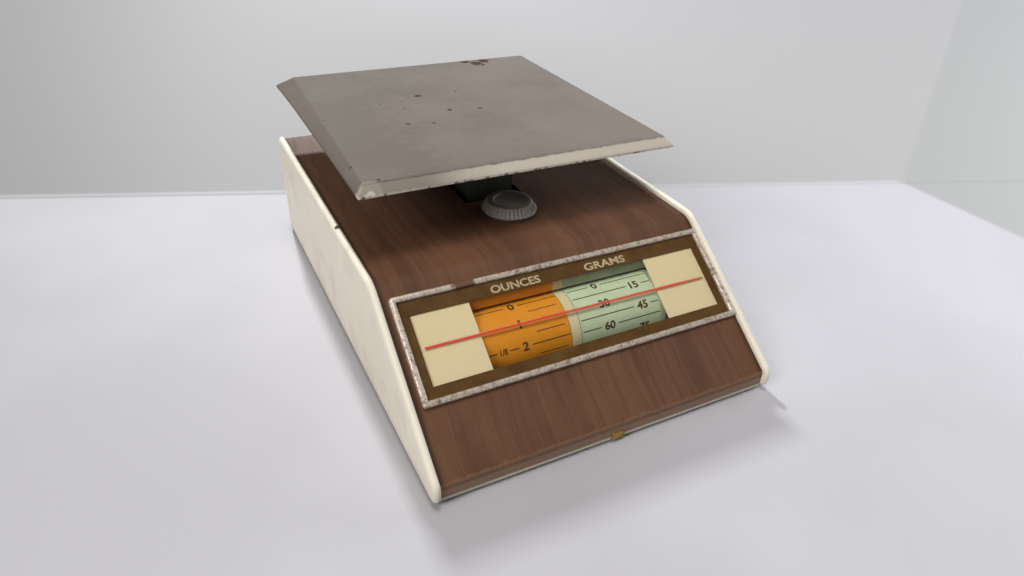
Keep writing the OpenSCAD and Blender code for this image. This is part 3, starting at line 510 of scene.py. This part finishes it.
bands = walnut.rise(grain(9, 3), 0.3, 0.7)
figure = walnut.shades(bands, (0, paint(86, 57, 39)), (0.35, paint(95, 62, 43)),
    (0.55, paint(104, 69, 48)), (0.75, paint(91, 59, 41)), (1, paint(107, 73, 52)))
patches = walnut.rise(walnut.cloud(17, 3, (1, 0.5, 0.5), 52), 0.42, 0.66)
figure = walnut.blend(patches * 0.45, figure, paint(113, 79, 54))
pores = walnut.rise(grain(0.9, 4, 70, 0.7), 0.5, 0.72)
hairs = walnut.rise(grain(2.6, 5, 31, 0.65), 0.54, 0.68)
figure = walnut.blend(pores * 0.28, figure, paint(64, 41, 28))
figure = walnut.blend(hairs * 0.2, figure, paint(68, 44, 31))
ticks = walnut.rise(walnut.node("TexNoise", values={
    "Vector": walnut.place * (1, 0.12, 0.12) + wander, "Scale": 2.2, "Detail": 3}), 0.62, 0.72)
figure = walnut.blend(ticks * 0.3, figure, paint(64, 43, 31))
side_shade = walnut.rise(abs(walnut.x) + walnut.cloud(6, 3) * 1.2, 62.4, 64.4)
figure = walnut.blend(side_shade * 0.55, figure, paint(30, 20, 15))
# The lip's front face is painted lighter: painted light on the face that looks forward.
lip_face_painted_light = 1 - walnut.rise(walnut.z, 5, 7)
figure = walnut.blend(lip_face_painted_light * 0.55, figure, paint(176, 146, 126))
# A paler line along the lip's bend: partly wear, partly a painted highlight.
lip_wear_and_highlight = 1 - walnut.rise(abs(walnut.z - 7.2) + walnut.cloud(4, 4) * 1.2, 0.9, 1.9)
figure = walnut.blend(lip_wear_and_highlight * 0.5, figure, paint(150, 118, 92))
handled = walnut.cloud(30, 4)
walnut.wear(figure, 0.5 + handled * 0.24 + pores * 0.12,
    (1 - pores) * 0.7 - ticks * 0.4 + walnut.cloud(35, 2) * 1.5, 0.06)
shape("wood_grain_cover", *closed_sheet(outer_skin, inner_skin, cells), walnut, "walnut_skin",
    "case", ("wood_cover",))

# --- Front catch ------------------------------------------------------------------------------
# A small tab cut from thin brass, its top corners clipped, and tarnished. It holds the lip down
# in the middle of the front.

brass = Finish("brass", Metallic=1.0)
tarnish = brass.cloud(4, 4)
brass.wear(brass.shades(tarnish, (0.3, paint(122, 92, 44)), (0.5, paint(170, 135, 72)),
    (0.7, paint(194, 160, 92))), 0.3 + tarnish * 0.25, brass.cloud(0.5, 3), 0.02)
catch_low, catch_high = (corner * 1000 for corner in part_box("front_catch"))
clip = 0.8
tab = [[(x, y, z) for x, z in ((catch_low.x, catch_low.z), (catch_high.x, catch_low.z),
    (catch_high.x, catch_high.z - clip), (catch_high.x - clip, catch_high.z),
    (catch_low.x + clip, catch_high.z), (catch_low.x, catch_high.z - clip))]
    for y in (catch_low.y, catch_high.y)]
shape("lip_tab", *loft(tab), brass, "brass", "case", ("front_catch",))

# --- Silver rim of the window -----------------------------------------------------------------
# A moulded frame round the window, hot-stamped with silver foil on its rounded top.
# The foil is rubbed and speckled, and gone from one place at the top.

rim_left, rim_right, rim_low, rim_high = -61.8, 64.2, 23.4, 61.1
rim_round, rim_round_steps, rim_top = 1.2, 5, 1.8
rim_section = ((0, 0), (0, 1.25), (0.12, 1.52), (0.35, 1.7), (0.7, rim_top), (1.3, rim_top),
    (1.62, 1.7), (1.86, 1.5), (2, 1.2), (2, 0))


def rounded_frame(inset, out):
    """Points round the rim, that far in from its edge and out of the cover."""
    ring = []
    centre_in, radius = max(inset, rim_round), max(rim_round - inset, 0)
    for x, along, start in ((rim_right - centre_in, rim_high - centre_in, 0),
            (rim_left + centre_in, rim_high - centre_in, pi / 2),
            (rim_left + centre_in, rim_low + centre_in, pi),
            (rim_right - centre_in, rim_low + centre_in, 3 * pi / 2)):
        for k in range(rim_round_steps + 1):
            turn = start + pi / 2 * k / rim_round_steps
            ring.append(on_slope(x + radius * cos(turn), along + radius * sin(turn), out))
    return ring


rim_rings = [rounded_frame(inset, out) for inset, out in rim_section]
rim_rings.append(rim_rings[0])
rim_points, rim_faces = loft(rim_rings)
foil = Finish("silver_foil")
rub = foil.cloud(2.2, 5, rough=0.7) * 0.75 + foil.cloud(14, 2, shift=5) * 0.25
worn = foil.rise(rub, 0.535, 0.61)
fine_specks = foil.rise(foil.cloud(0.8, 3, shift=22), 0.54, 0.64)
bare = 1 - (1 - worn * 0.75) * (1 - fine_specks * 0.6)
gap = foil.spot(tuple(on_slope(-35.5, 60.2, rim_top)), 4.6, 0.2, 2)
bare = 1 - (1 - bare) * (1 - gap)
under_foil = foil.blend(foil.rise(foil.cloud(1.5, 3, shift=60), 0.4, 0.6), paint(139, 110, 88),
    paint(84, 56, 38))
under_foil = foil.blend(gap, under_foil, paint(100, 68, 48))
silver = foil.shades(rub, (0.4, paint(214, 204, 192)), (0.6, paint(190, 176, 160)))
foil.wear(foil.blend(bare, silver, under_foil), 0.3 + bare * 0.3,
    foil.cloud(0.7, 3) * 0.5 - bare, 0.05, Metallic=(1 - bare) * 0.35)
shape("silver_rim", rim_points, rim_faces[:-2], foil, "silver_foil", "case", ("window_rim",))

# --- Brown band and its words -----------------------------------------------------------------
# A translucent brown band is printed round the clear window, on the back of the lens,
# with the two words left clear so that the cream shows through them.

band = Finish("brown_band", Specular_IOR_Level=0.2)
ink = band.cloud(7, 4)
band.wear(band.shades(ink, (0.3, paint(80, 52, 16)), (0.7, paint(98, 69, 27))), 0.55,
    band.cloud(0.6, 2), 0.02)
dress(band, "window_band")


def letters(text, tall, widen, weight):
    """The flat outline of a text: points in millimetres from its middle, and faces."""
    curve = bpy.data.curves.new("letters", "FONT")
    curve.body = text
    curve.align_x = "CENTER"
    curve.resolution_u = 4
    curve.offset = weight
    holder = bpy.data.objects.new("letters", curve)
    bpy.context.scene.collection.objects.link(holder)
    bpy.context.view_layer.update()
    mesh = bpy.data.meshes.new_from_object(holder.evaluated_get(
        bpy.context.evaluated_depsgraph_get()))
    work = bmesh.new()
    work.from_mesh(mesh)
    bmesh.ops.remove_doubles(work, verts=work.verts, dist=1e-5)
    xs = [v.co.x for v in work.verts]
    ys = [v.co.y for v in work.verts]
    scale = tall / (max(ys) - min(ys))
    for v in work.verts:
        v.co = ((v.co.x - (max(xs) + min(xs)) / 2) * scale * widen,
            (v.co.y - (max(ys) + min(ys)) / 2) * scale, 0)
    # Strips across the flat letters let them bend round a drum.
    for i in range(-8, 9):
        bmesh.ops.bisect_plane(work, geom=work.verts[:] + work.edges[:] + work.faces[:],
            plane_co=(0, i * 0.4, 0), plane_no=(0, 1, 0))
    work.normal_update()
    work.verts.index_update()
    points = [tuple(v.co) for v in work.verts]
    faces = [tuple(v.index for v in (f.verts if f.normal.z > 0 else reversed(f.verts)))
        for f in work.faces]
    work.free()
    bpy.data.objects.remove(holder)
    return points, faces


def printed(points, faces, wrap, low, high):
    """A thin layer of ink in the shape of a flat outline."""
    return closed_sheet([wrap(x, y, high) for x, y, _ in points],
        [wrap(x, y, low) for x, y, _ in points], faces)


words, word_tall, word_along, word_layer = [], 2.9, 56, (0.48, 0.54)
for text, x, width in (("OUNCES", -17.2, 19.2), ("GRAMS", 19.6, 17.6)):
    points, faces = letters(text, word_tall, 1, 0.024)
    stretch = width / (max(p[0] for p in points) - min(p[0] for p in points))
    words.append(printed([(p[0] * stretch, p[1], 0) for p in points], faces,
        lambda a, b, out, x=x: on_slope(x + a, word_along + b, out), *word_layer))
letter_ink = Finish("letter_ink", Specular_IOR_Level=0.2)
letter_ink.wear(letter_ink.shades(letter_ink.cloud(1.2, 3), (0.35, paint(172, 155, 118)),
    (0.6, paint(200, 184, 146))), 0.5)
shape("dial_words", *join(*words), letter_ink, "cream_card", "case")

# --- Lens -------------------------------------------------------------------------------------
# A clear moulded plate, a little scratched and cloudy. It is laid in the rim, over the band and
# the window.

clear = Finish("clear_lens", Base_Color=(1, 1, 1, 1), Metallic=1.0)
glance = clear.node("LayerWeight", values={"Blend": 0.5}, take="Facing")
clear.wear(roughness=clear.rise(clear.cloud(6, 5), 0.45, 0.75) * 0.06 + 0.03,
    Alpha=glance * glance * glance * glance * 0.35 + 0.02)
pane_section = ((2.1, 0.6), (2.1, 1.38), (2.22, 1.5))
pane = [[on_slope(x, along, out) for x, along in (
    (rim_left + inset, rim_low + inset), (rim_right - inset, rim_low + inset),
    (rim_right - inset, rim_high - inset), (rim_left + inset, rim_high - inset))]
    for inset, out in pane_section]
shape("clear_pane", *loft(pane), clear, "clear_lens", "case", ("window_lens",), 20)

# --- Index line -------------------------------------------------------------------------------
# A red line printed across the back of the lens, a little askew, for reading the chart. Its
# edges are soft, with a paler band round it that is a painted reflection of the line. It fades
# towards its right end.

red_line = Finish("red_line", Specular_IOR_Level=0.2)
index_along, line_tilt, line_reach, line_layer = 41.5, radians(-0.5), 56.4, (0.44, 0.56)
line_middle = on_slope(1.2, index_along, 0.5)
from_line = abs((red_line.y - line_middle.y) * slope_up.y
    + (red_line.z - line_middle.z) * slope_up.z - (red_line.x - line_middle.x) * tan(line_tilt))
core = 1 - red_line.rise(from_line + red_line.cloud(0.7, 2) * 0.1, 0.16, 0.44)
# The paler, half-clear band round the core is a painted reflection of the line.
painted_halo = 1 - red_line.rise(from_line, 0.3, 0.85)
faded = red_line.rise(red_line.x, 40, 58)
red = red_line.blend(faded, paint(216, 54, 34), paint(176, 104, 52))
red_line.wear(red_line.blend(core, paint(228, 130, 100), red), 0.5,
    Alpha=core * 0.5 + painted_halo * (0.4 - faded * 0.2))
line = [[on_slope(line_middle.x + a * cos(line_tilt) - b * sin(line_tilt),
    index_along + a * sin(line_tilt) + b * cos(line_tilt), out) for a, b in (
    (-line_reach, -1), (line_reach, -1), (line_reach, 1), (-line_reach, 1))]
    for out in line_layer]
shape("index_print", *loft(line), red_line, "red_line", "case", ("index_line",))

# --- Dial masks -------------------------------------------------------------------------------
# Two plates of cream card behind the window, left and right of the turning dial, mottled with
# age, and painted lighter towards the top as a painted reflection. Both are bare.

card = Finish("cream_card", Specular_IOR_Level=0.25)
mottle = card.cloud(9, 4) * 0.6 + card.cloud(1.4, 3) * 0.4
aged_and_lit = card.shades(mottle, (0.35, paint(226, 208, 157)), (0.65, paint(233, 216, 167)))
# The card is painted lighter towards the top: a painted reflection.
lit_upper_card = card.rise(card.z, 24, 38)
aged_and_lit = card.blend(lit_upper_card * 0.4, paint(222, 206, 166), aged_and_lit)
spots = card.rise(card.cloud(2.3, 3, shift=13), 0.68, 0.76)
card.wear(card.blend(spots * 0.3, aged_and_lit, paint(160, 132, 90)), 0.6, card.cloud(0.5, 3), 0.02)
dress(card, "left_dial_mask", "right_dial_mask")

# --- Dial chart -------------------------------------------------------------------------------
# A strip printed orange for ounces and green for grams, glued round the drum. Each ounce has a
# long line and its figure, with a short line between; the grams go by fifteens.

chart_r, drum_deep = 15, 16
drum_middle = on_slope(0, index_along, -drum_deep)
dial_left, dial_right = -35.6, 36.2
chart_low, chart_high = (corner.x * 1000 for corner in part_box("dial_chart"))
ounce_turn, grams_in_ounce = radians(30), 28.35


def on_drum(x, turn, radius=chart_r):
    """A place on the drum, turned down from the index line."""
    around = slope_out * cos(turn) - slope_up * sin(turn)
    return Vector((x, 0, 0)) + drum_middle + around * radius


def tube_round_drum(steps, x0, x1, bore, radius):
    """A tube about the drum's axis."""
    points, faces = loft([[on_drum(x, 2 * pi * k / steps, r) for k in range(steps)]
        for x, r in ((x0, bore), (x0, radius), (x1, radius), (x1, bore), (x0, bore))])
    return points, faces[:-2]


chart = Finish("printed_chart", Specular_IOR_Level=0.3)
mottled = chart.cloud(5, 4) * 0.5 + chart.cloud(0.9, 3) * 0.5
orange = chart.shades(mottled, (0.35, paint(215, 137, 22)), (0.65, paint(224, 147, 36)))
green = chart.shades(mottled, (0.35, paint(188, 204, 167)), (0.65, paint(199, 214, 180)))
gap_cream = chart.shades(mottled, (0.35, paint(206, 196, 150)), (0.65, paint(216, 208, 166)))
gap_low, gap_high = -2.5, 1.6


def side_by_side(finish, left, middle, right):
    """Three colours across the print, with the gap's in the middle."""
    past_left = finish.rise(finish.x, gap_low - 0.1, gap_low + 0.1)
    past_gap = finish.rise(finish.x, gap_high - 0.1, gap_high + 0.1)
    return finish.blend(past_gap, finish.blend(past_left, left, middle), right)


inks = side_by_side(chart, orange, gap_cream, green)
gap_edges = 1 - chart.rise(abs(abs(chart.x - (gap_low + gap_high) / 2)
    - (gap_high - gap_low) / 2), 0.12, 0.25)
chart.wear(chart.blend(gap_edges * 0.55, inks, paint(96, 74, 44)), 0.55,
    chart.cloud(0.6, 2), 0.015)
shape("chart_strip", *tube_round_drum(180, chart_low, chart_high, chart_r - 0.2, chart_r), chart,
    "printed_chart", "dial", ("dial_chart",))

chart_marks = []


def mark(points, faces, x, turn):
    """Prints a flat outline on the strip, half sunk in its face."""
    chart_marks.append(printed(points, faces, lambda a, b, out: on_drum(x + a, turn - b / chart_r,
        chart_r + out), -0.02, 0.02))


def rule(x0, x1, turn, thick):
    """Prints a line across the strip."""
    points = [(x, thick * (k / 2 - 0.5), 0) for k in range(3) for x in (x0, x1)]
    mark(points, [(2 * k, 2 * k + 1, 2 * k + 3, 2 * k + 2) for k in range(2)], 0, turn)


def print_figure(text, tall, x, turn):
    """Prints a figure, and gives the room that it takes to either side."""
    points, faces = letters(text, tall, 1.15, 0.035)
    mark(points, faces, x, turn)
    return max(p[0] for p in points) + 1.4


# The strip is glued on a little high: at rest the line stands just past the first ounce.
strip_high, ounce_x, pound_x, gram_columns = radians(-2.5), -20.5, -28.9, (13.7, 28.8)
ounce_tall, pound_tall, gram_tall, print_edge = 3.2, 2.3, 3.1, 0.2
ounce_line, half_line, gram_line = 0.42, 0.34, 0.38
parts_of_pound = {2: "1/8", 4: "1/4", 8: "1/2"}
for half_ounces in range(21):
    turn = (half_ounces / 2 - 1) * ounce_turn + strip_high
    ounces = half_ounces // 2
    if half_ounces % 2:
        rule(-15.5, -4.2, turn, half_line)
        continue
    aside = print_figure(str(ounces), ounce_tall, ounce_x, turn)
    rule(ounce_x + aside, gap_low - 0.3, turn, ounce_line)
    if ounces in parts_of_pound:
        mark(*letters(parts_of_pound[ounces], pound_tall, 0.8, 0.03), pound_x, turn)
        rule(pound_x + 2.2, ounce_x - aside, turn, ounce_line)
        rule(dial_left + print_edge, pound_x - 2.4, turn, ounce_line)
    else:
        rule(dial_left + print_edge, ounce_x - aside, turn, ounce_line)
for grams in range(0, 286, 15):
    turn = (grams / grams_in_ounce - 1) * ounce_turn + strip_high
    x = gram_columns[grams // 15 % 2]
    aside = print_figure(str(grams), gram_tall, x, turn)
    rule(gap_high + 0.7, x - aside, turn, gram_line)
    if x + aside < dial_right - 1:
        rule(x + aside, dial_right - print_edge, turn, gram_line)
chart_ink = Finish("chart_ink", Specular_IOR_Level=0.2)
chart_ink.wear(chart_ink.shades(chart_ink.cloud(0.8, 3), (0.35, paint(68, 51, 30)),
    (0.65, paint(96, 76, 48))), 0.55)
shape("chart_figures", *join(*chart_marks), chart_ink, "printed_chart", "dial")

# --- Chart liner ------------------------------------------------------------------------------
# A strip printed like the chart but darker hangs inside the window's upper edge, so that no gap
# shows past the drum; it is painted shade in place of the drum's shaded top. Its top is glued to
# the underside of the cover.

shaded_liner_print = Finish("shaded_liner_print", Specular_IOR_Level=0.2)
# The liner's colours are darker copies of the chart's: painted shade.
shaded_liner_green = shaded_liner_print.shades(shaded_liner_print.cloud(3, 4), (0.35, paint(142, 150, 118)),
    (0.65, paint(152, 160, 128)))
shaded_liner_print.wear(side_by_side(shaded_liner_print, paint(204, 128, 28), paint(190, 172, 122),
    shaded_liner_green), 0.6)
liner_section = ((54.85, -0.85), (55.3, -0.85), (52.2, -3.9), (51.8, -3.55))
shape("chart_liner", *loft([[on_slope(x, along, out) for along, out in liner_section]
    for x in (dial_left - 2, dial_right + 2)]), shaded_liner_print, "printed_chart", "case")

# --- Drum -------------------------------------------------------------------------------------
# A thin white plastic tube on two discs with hubs and lightening holes, pressed on a steel shaft.
# A brass pinion sits at its right end; a black ring at each end of the shaft keeps it in place.

white = Finish("white_plastic", Specular_IOR_Level=0.35)
white.wear(white.shades(white.cloud(8, 3), (0.3, paint(216, 214, 206)),
    (0.7, paint(226, 224, 217))), 0.5 + white.cloud(3) * 0.1, white.cloud(0.4), 0.02)
shell_low, shell_high = (corner.x * 1000 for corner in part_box("drum_shell"))
shell_bore, shell_r = 14, 14.8
shape("drum_tube", *tube_round_drum(120, shell_low, shell_high, shell_bore, shell_r), white,
    "white_plastic", "dial", ("drum_shell",))
dress(white, "drum_end_left", "drum_end_right")
dress(bright, "drum_shaft")
dress(brass, "pinion")
dark = Finish("dark_steel", Metallic=0.9)
dark.wear(dark.shades(dark.cloud(2, 3), (0.3, paint(60, 60, 62)), (0.7, paint(84, 84, 86))),
    0.4 + dark.cloud(1) * 0.2)
dress(dark, "drum_clips", "pivot_clips", "zero_clip")

# --- Brackets, bushes and stops ---------------------------------------------------------------
# Zinc-plated angle brackets on the tray hold flanged brass bushes for the two shafts.
# A folded channel under the deck guides the spring's nut; two rubber pads stop the lever.

plated = Finish("plated_steel", Metallic=1.0)
spangle = plated.cloud(3.5, 2) * 0.5 + plated.cloud(0.6, 4) * 0.5
dull = plated.rise(plated.cloud(12, 4, shift=7), 0.5, 0.68)
zinc = plated.shades(spangle, (0.3, paint(164, 165, 162)), (0.7, paint(196, 197, 194)))
plated.wear(plated.blend(dull * 0.5, zinc, paint(150, 140, 122)),
    0.34 + spangle * 0.16 + dull * 0.2, plated.cloud(0.5, 3), 0.015)
dress(plated, "left_drum_bracket", "right_drum_bracket", "left_pivot_bracket",
    "right_pivot_bracket", "stay_bracket", "zero_bracket")
dress(brass, "drum_bushes", "pivot_bushes")
dress(rubber, "travel_stops")

# --- Lever ------------------------------------------------------------------------------------
# Two flat steel arms pivot on a shaft at the back, joined by the rods of the pan and the spring.
# The right arm carries a toothed sector, held by two rivets, that turns the drum's pinion.

dress(plated, "lever_arm_left", "lever_arm_right", "sector_gear")
dress(bright, "pivot_shaft", "carrier_shaft", "spring_bar", "sector_rivets")

# --- Spring and zero setting ------------------------------------------------------------------
# A coil of bright spring wire hangs by a straight leg from a hole in the brass nut on the zero
# screw, and ends in a loop round the lever's bar. The screw turns with the knob.

wire_r, wire_sides, coil_r, coils, coil_steps = 0.4, 10, 4, 8, 28
leg_top, coil_top, coil_low, tail_drop, tail_steps = 35.2, 32, 23.25, 3, 12
bar_z, loop_r, loop_steps = drum_middle.z, 1.95, 18

# The wire's middle line: the leg in the nut, the coils, a tail that comes in to the axis, the loop.
wire = [(0, coil_r, leg_top), (0, coil_r, coil_top + 0.8), (-0.25, coil_r, coil_top + 0.2)]
for i in range(1, coils * coil_steps + 1):
    turn = pi / 2 + 2 * pi * i / coil_steps
    wire.append((coil_r * cos(turn), coil_r * sin(turn),
        coil_top + (coil_low - coil_top) * i / (coils * coil_steps)))
for i in range(1, tail_steps + 1):
    part = i / tail_steps
    turn, radius = pi / 2 + pi / 3 * part, coil_r * (1 - part) + 0.01
    wire.append((radius * cos(turn), radius * sin(turn), coil_low - tail_drop * part))
for i in range(loop_steps + 1):
    turn = pi / 2 - 3 * pi / 2 * i / loop_steps
    wire.append((0, loop_r * cos(turn), bar_z + loop_r * sin(turn)))
wire = [Vector((x, y + knob_y, z)) for x, y, z in wire]
wire_rings, side = [], Vector((0, 0, 1))
for i, place in enumerate(wire):
    along = (wire[min(i + 1, len(wire) - 1)] - wire[max(i - 1, 0)]).normalized()
    side = (side - side.dot(along) * along).normalized()
    other = along.cross(side)
    wire_rings.append([place + wire_r * (cos(turn) * side + sin(turn) * other)
        for turn in (2 * pi * k / wire_sides for k in range(wire_sides))])
spring = shape("coiled_spring", *loft(wire_rings), bright, "bright_steel", None,
    ("balance_spring",))
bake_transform(spring)
dress(brass, "spring_nut")
dress(bright, "zero_screw")

# --- Stay -------------------------------------------------------------------------------------
# A flat steel link with an eye rolled at each end runs above the lever, from a shaft at the back
# panel to a pin in the pan's post, and keeps the pan level.

dress(plated, "stay_link")
dress(bright, "stay_shaft", "stay_pin")

# --- Pan carrier ------------------------------------------------------------------------------
# A folded steel channel comes up through the deck, with a plate and a flared apron riveted on it.
# Both are painted grey-green.

grey_green = Finish("grey_green_paint", Specular_IOR_Level=0.35)
brushmarks = grey_green.cloud(9, 4, (1, 1, 0.3))
rubbed = grey_green.rise(grey_green.cloud(2.5, 5), 0.62, 0.7)
brushed_on = grey_green.shades(brushmarks, (0.3, paint(68, 70, 64)), (0.7, paint(84, 86, 79)))
grey_green.wear(grey_green.blend(rubbed * 0.6, brushed_on, paint(96, 92, 84)),
    0.45 + brushmarks * 0.2, grey_green.cloud(0.7, 3), 0.03)
dress(grey_green, "pan_post", "pan_bracket")
dress(bright, "post_rivets")

# --- Pan --------------------------------------------------------------------------------------
# A square plate pressed from thin steel, with a bevelled edge that was bent a little out of true,
# and enamelled warm grey. The enamel is chipped along the front edge and rusty in places.

pan_low, pan_high = (corner * 1000 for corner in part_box("pan"))
pan_top, pan_t = pan_high.z, 1
rim_top_z, rim_low_z = pan_top - 2.7, pan_top - 2.7 - pan_t
side_steps, corner_steps = 24, 4
# The corners go round from the back left. The bevel is uneven there, and one corner droops.
pan_corners = ((pan_low.x, pan_high.y, 1, -1), (pan_low.x, pan_low.y, 1, 1),
    (pan_high.x, pan_low.y, -1, 1), (pan_high.x, pan_high.y, -1, -1))
bevels = ((6.7, 5.2), (2.6, 3.4), (2.5, 3.2), (3.4, 3.4))
droops = (1.6, 0.3, 0, 0)


def pan_ring(share, more, z, radius, droop):
    """A line round the pan: that share of the bevel in from the edge, and that much more. Its
    corners have that radius and that share of the droop."""
    corners = [Vector((x + dx * (a * share + more), y + dy * (b * share + more), z))
        for (x, y, dx, dy), (a, b) in zip(pan_corners, bevels)]
    ring = []
    for i, here in enumerate(corners):
        before, after = corners[i - 1], corners[(i + 1) % 4]
        start = here + (before - here).normalized() * radius
        stop = here + (after - here).normalized() * radius
        far = after + (here - after).normalized() * radius
        low_here, low_after = droops[i] * droop, droops[(i + 1) % 4] * droop
        for k in range(corner_steps + 1):
            part = k / corner_steps
            place = start * (1 - part) ** 2 + here * (2 * part * (1 - part)) + stop * part ** 2
            ring.append(place - Vector((0, 0, low_here)))
        for k in range(1, side_steps):
            part = k / side_steps
            sag = low_here * (1 - part) ** 6 + low_after * part ** 6
            ring.append(stop.lerp(far, part) - Vector((0, 0, sag)))
    return ring


pan_rings = [pan_ring(*line) for line in (
    (1, 3, pan_top, 2.4, 0), (1, 0.5, pan_top, 1.4, 0), (1, 0.1, pan_top - 0.08, 1.2, 0),
    (0.94, 0, pan_top - 0.28, 1.1, 0.06), (0.5, 0, pan_top - 1.55, 1, 0.5),
    (0.07, 0, rim_top_z + 0.1, 0.9, 0.93), (0, 0.08, rim_top_z - 0.12, 0.9, 1),
    (0, 0, rim_top_z - 0.35, 0.9, 1), (0, 0, rim_low_z + 0.1, 0.9, 1),
    (0, 0.15, rim_low_z, 0.8, 1), (0, 0.85, rim_low_z, 0.6, 1), (0, 1, rim_low_z + 0.2, 0.6, 1),
    (1, 0.6, pan_top - pan_t, 1.2, 0), (1, 3, pan_top - pan_t, 2.4, 0))]
enamel = Finish("grey_enamel", Specular_IOR_Level=0.1)
tone = enamel.cloud(34, 4) * 0.75 + enamel.cloud(4, 4, shift=3) * 0.25
# The grey is painted lighter towards the right: painted light.
grey = enamel.shades(tone + enamel.x * 0.004, (0.3, paint(98, 91, 84)),
    (0.7, paint(116, 109, 103)))
left_x, front_y = pan_low.x, pan_low.y
on_front = 1 - enamel.rise(enamel.y + enamel.cloud(3, 4) * 0.8, front_y + 3.1, front_y + 3.8)
# The front bevel is painted paler, most towards the right: partly worn enamel, partly painted light
# on the forward-facing bevel.
pale = (enamel.rise(enamel.x + enamel.cloud(18, 3) * 22, -34, 0) * 0.7 + 0.3) * on_front
grey = enamel.blend(pale * 0.85, grey, paint(206, 197, 184))
low_edge = 1 - enamel.rise(enamel.z + enamel.cloud(2, 4) * 0.7, 70.5, 71.1)
grey = enamel.blend(low_edge * on_front * 0.8, grey, paint(206, 196, 182))
corner_sheen = enamel.spot((left_x + 4.5, front_y + 1, 71), 4.5, 0.12, 3)
grey = enamel.blend(corner_sheen * 0.35, grey, paint(176, 168, 156))
bare_corner = enamel.spot((left_x + 4, front_y, 69.9), 1.9, 0.35, 0.9)
grey = enamel.blend(bare_corner * 0.8, grey, paint(205, 197, 186))
edge_chips = low_edge * on_front * enamel.rise(enamel.cloud(1.6, 4, shift=29), 0.56, 0.62)
rust_spots = ((-13.1, 51.7, 1.5), (-28.6, 21.5, 1), (-18.7, 19.1, 0.8), (-7, 30.9, 1.1),
    (5.8, 29, 0.9), (4.5, 52, 0.7), (-31.9, 45.9, 0.4), (-39, 96.5, 0.9), (-24, 38, 0.4),
    (-22, 47, 0.4), (-41, 33, 0.35), (27.5, 93.5, 2.6), (31.5, 89, 3.2), (37, 92, 3),
    (34, 86, 1.4), (-60.8, -10.1, 0.8), (left_x + 5.6, 36, 0.5),
    (left_x + 8.5, front_y + 4.4, 0.7))
rust = edge_chips * 0.8
for x, y, radius in rust_spots:
    rust = enamel.spot((x, y, pan_top), radius, 0.5, 1.2) + rust
pinholes = enamel.rise(enamel.cloud(1.1, 2, shift=17), 0.77, 0.8) * 0.6
flaws = enamel.node("Clamp", values={0: rust + pinholes})
rust_brown = enamel.shades(enamel.cloud(0.8, 3), (0.4, paint(58, 42, 34)),
    (0.6, paint(94, 70, 54)))
enamel.wear(enamel.blend(flaws, grey, rust_brown), 0.62 + tone * 0.16 + flaws * 0.3 - pale * 0.05,
    enamel.cloud(1.6, 3) * 0.35 + enamel.cloud(26, 2) * 2 - flaws - bare_corner * 0.6, 0.07)
shape("enamelled_pan", *loft(pan_rings), enamel, "grey_enamel", "carrier", ("pan",), 28)

# --- Zero knob --------------------------------------------------------------------------------
# A low turned and fluted knob of grey plastic, widest just above its foot, with a shallow dish in
# its flat top.

knob_low, knob_tall, flank_low = 46.3, 4.9, 1.6
flank_r, knob_top_r = 10.8, 8.8
flutes, flute_steps = 40, 8


def knob_ring(radius, height, depth):
    """A ring of the knob; the flutes are hollows between rounded ribs."""
    ring = []
    for k in range(flutes * flute_steps):
        turn = 2 * pi * k / (flutes * flute_steps)
        out = radius - depth * (0.5 - 0.5 * cos(turn * flutes)) ** 0.6
        ring.append((out * cos(turn), knob_y + out * sin(turn), knob_low + height))
    return ring


def flank(height):
    """The radius of the sloping flank at a height."""
    return flank_r + (knob_top_r - flank_r) * (height - flank_low) / (knob_tall - flank_low)


knob_section = ((3, 0, 0), (9.6, 0, 0), (9.75, 0.12, 0), (10.7, 1.2, 0), (10.95, 1.5, 0),
    (11, 1.65, 0), (flank(1.8) + 0.1, 1.8, 0.25), (flank(2.1), 2.1, 0.5),
    (flank(2.8), 2.8, 0.55), (flank(3.5), 3.5, 0.52), (flank(4.1), 4.1, 0.45),
    (flank(4.45) - 0.05, 4.5, 0.3), (flank(4.7) - 0.3, 4.78, 0.1),
    (knob_top_r - 0.75, 4.88, 0), (knob_top_r - 1.2, knob_tall, 0), (6.55, knob_tall, 0),
    (6.3, 4.78, 0), (6.1, 4.42, 0), (5.8, 4.3, 0), (2, 4.3, 0))
knob_rings = [knob_ring(radius, height, depth) for radius, height, depth in knob_section]
grip = Finish("grey_plastic", Specular_IOR_Level=0.4)
tint = grip.cloud(6, 3) * 0.5 + grip.cloud(0.9, 3) * 0.5
# The flank is painted darker upwards and the flat top darker still: painted shade under the pan.
shade_up_knob = grip.rise(grip.z, knob_low + 1.4, knob_low + knob_tall)
flank_grey = grip.blend(shade_up_knob * 0.6, paint(146, 139, 130), paint(122, 116, 108))
flat_top = grip.rise(grip.z, knob_low + 4.6, knob_low + 4.8)
greys = grip.blend(flat_top, flank_grey, paint(112, 107, 98))
scuffs = grip.rise(grip.cloud(1.4, 5, rough=0.7), 0.6, 0.72)
grip.wear(grip.blend(scuffs * 0.35, greys, paint(150, 144, 134)), 0.42 + tint * 0.2,
    grip.cloud(0.5, 3), 0.03)
shape("fluted_knob", *loft(knob_rings), grip, "grey_plastic", "knob", ("zero_knob",), 40)
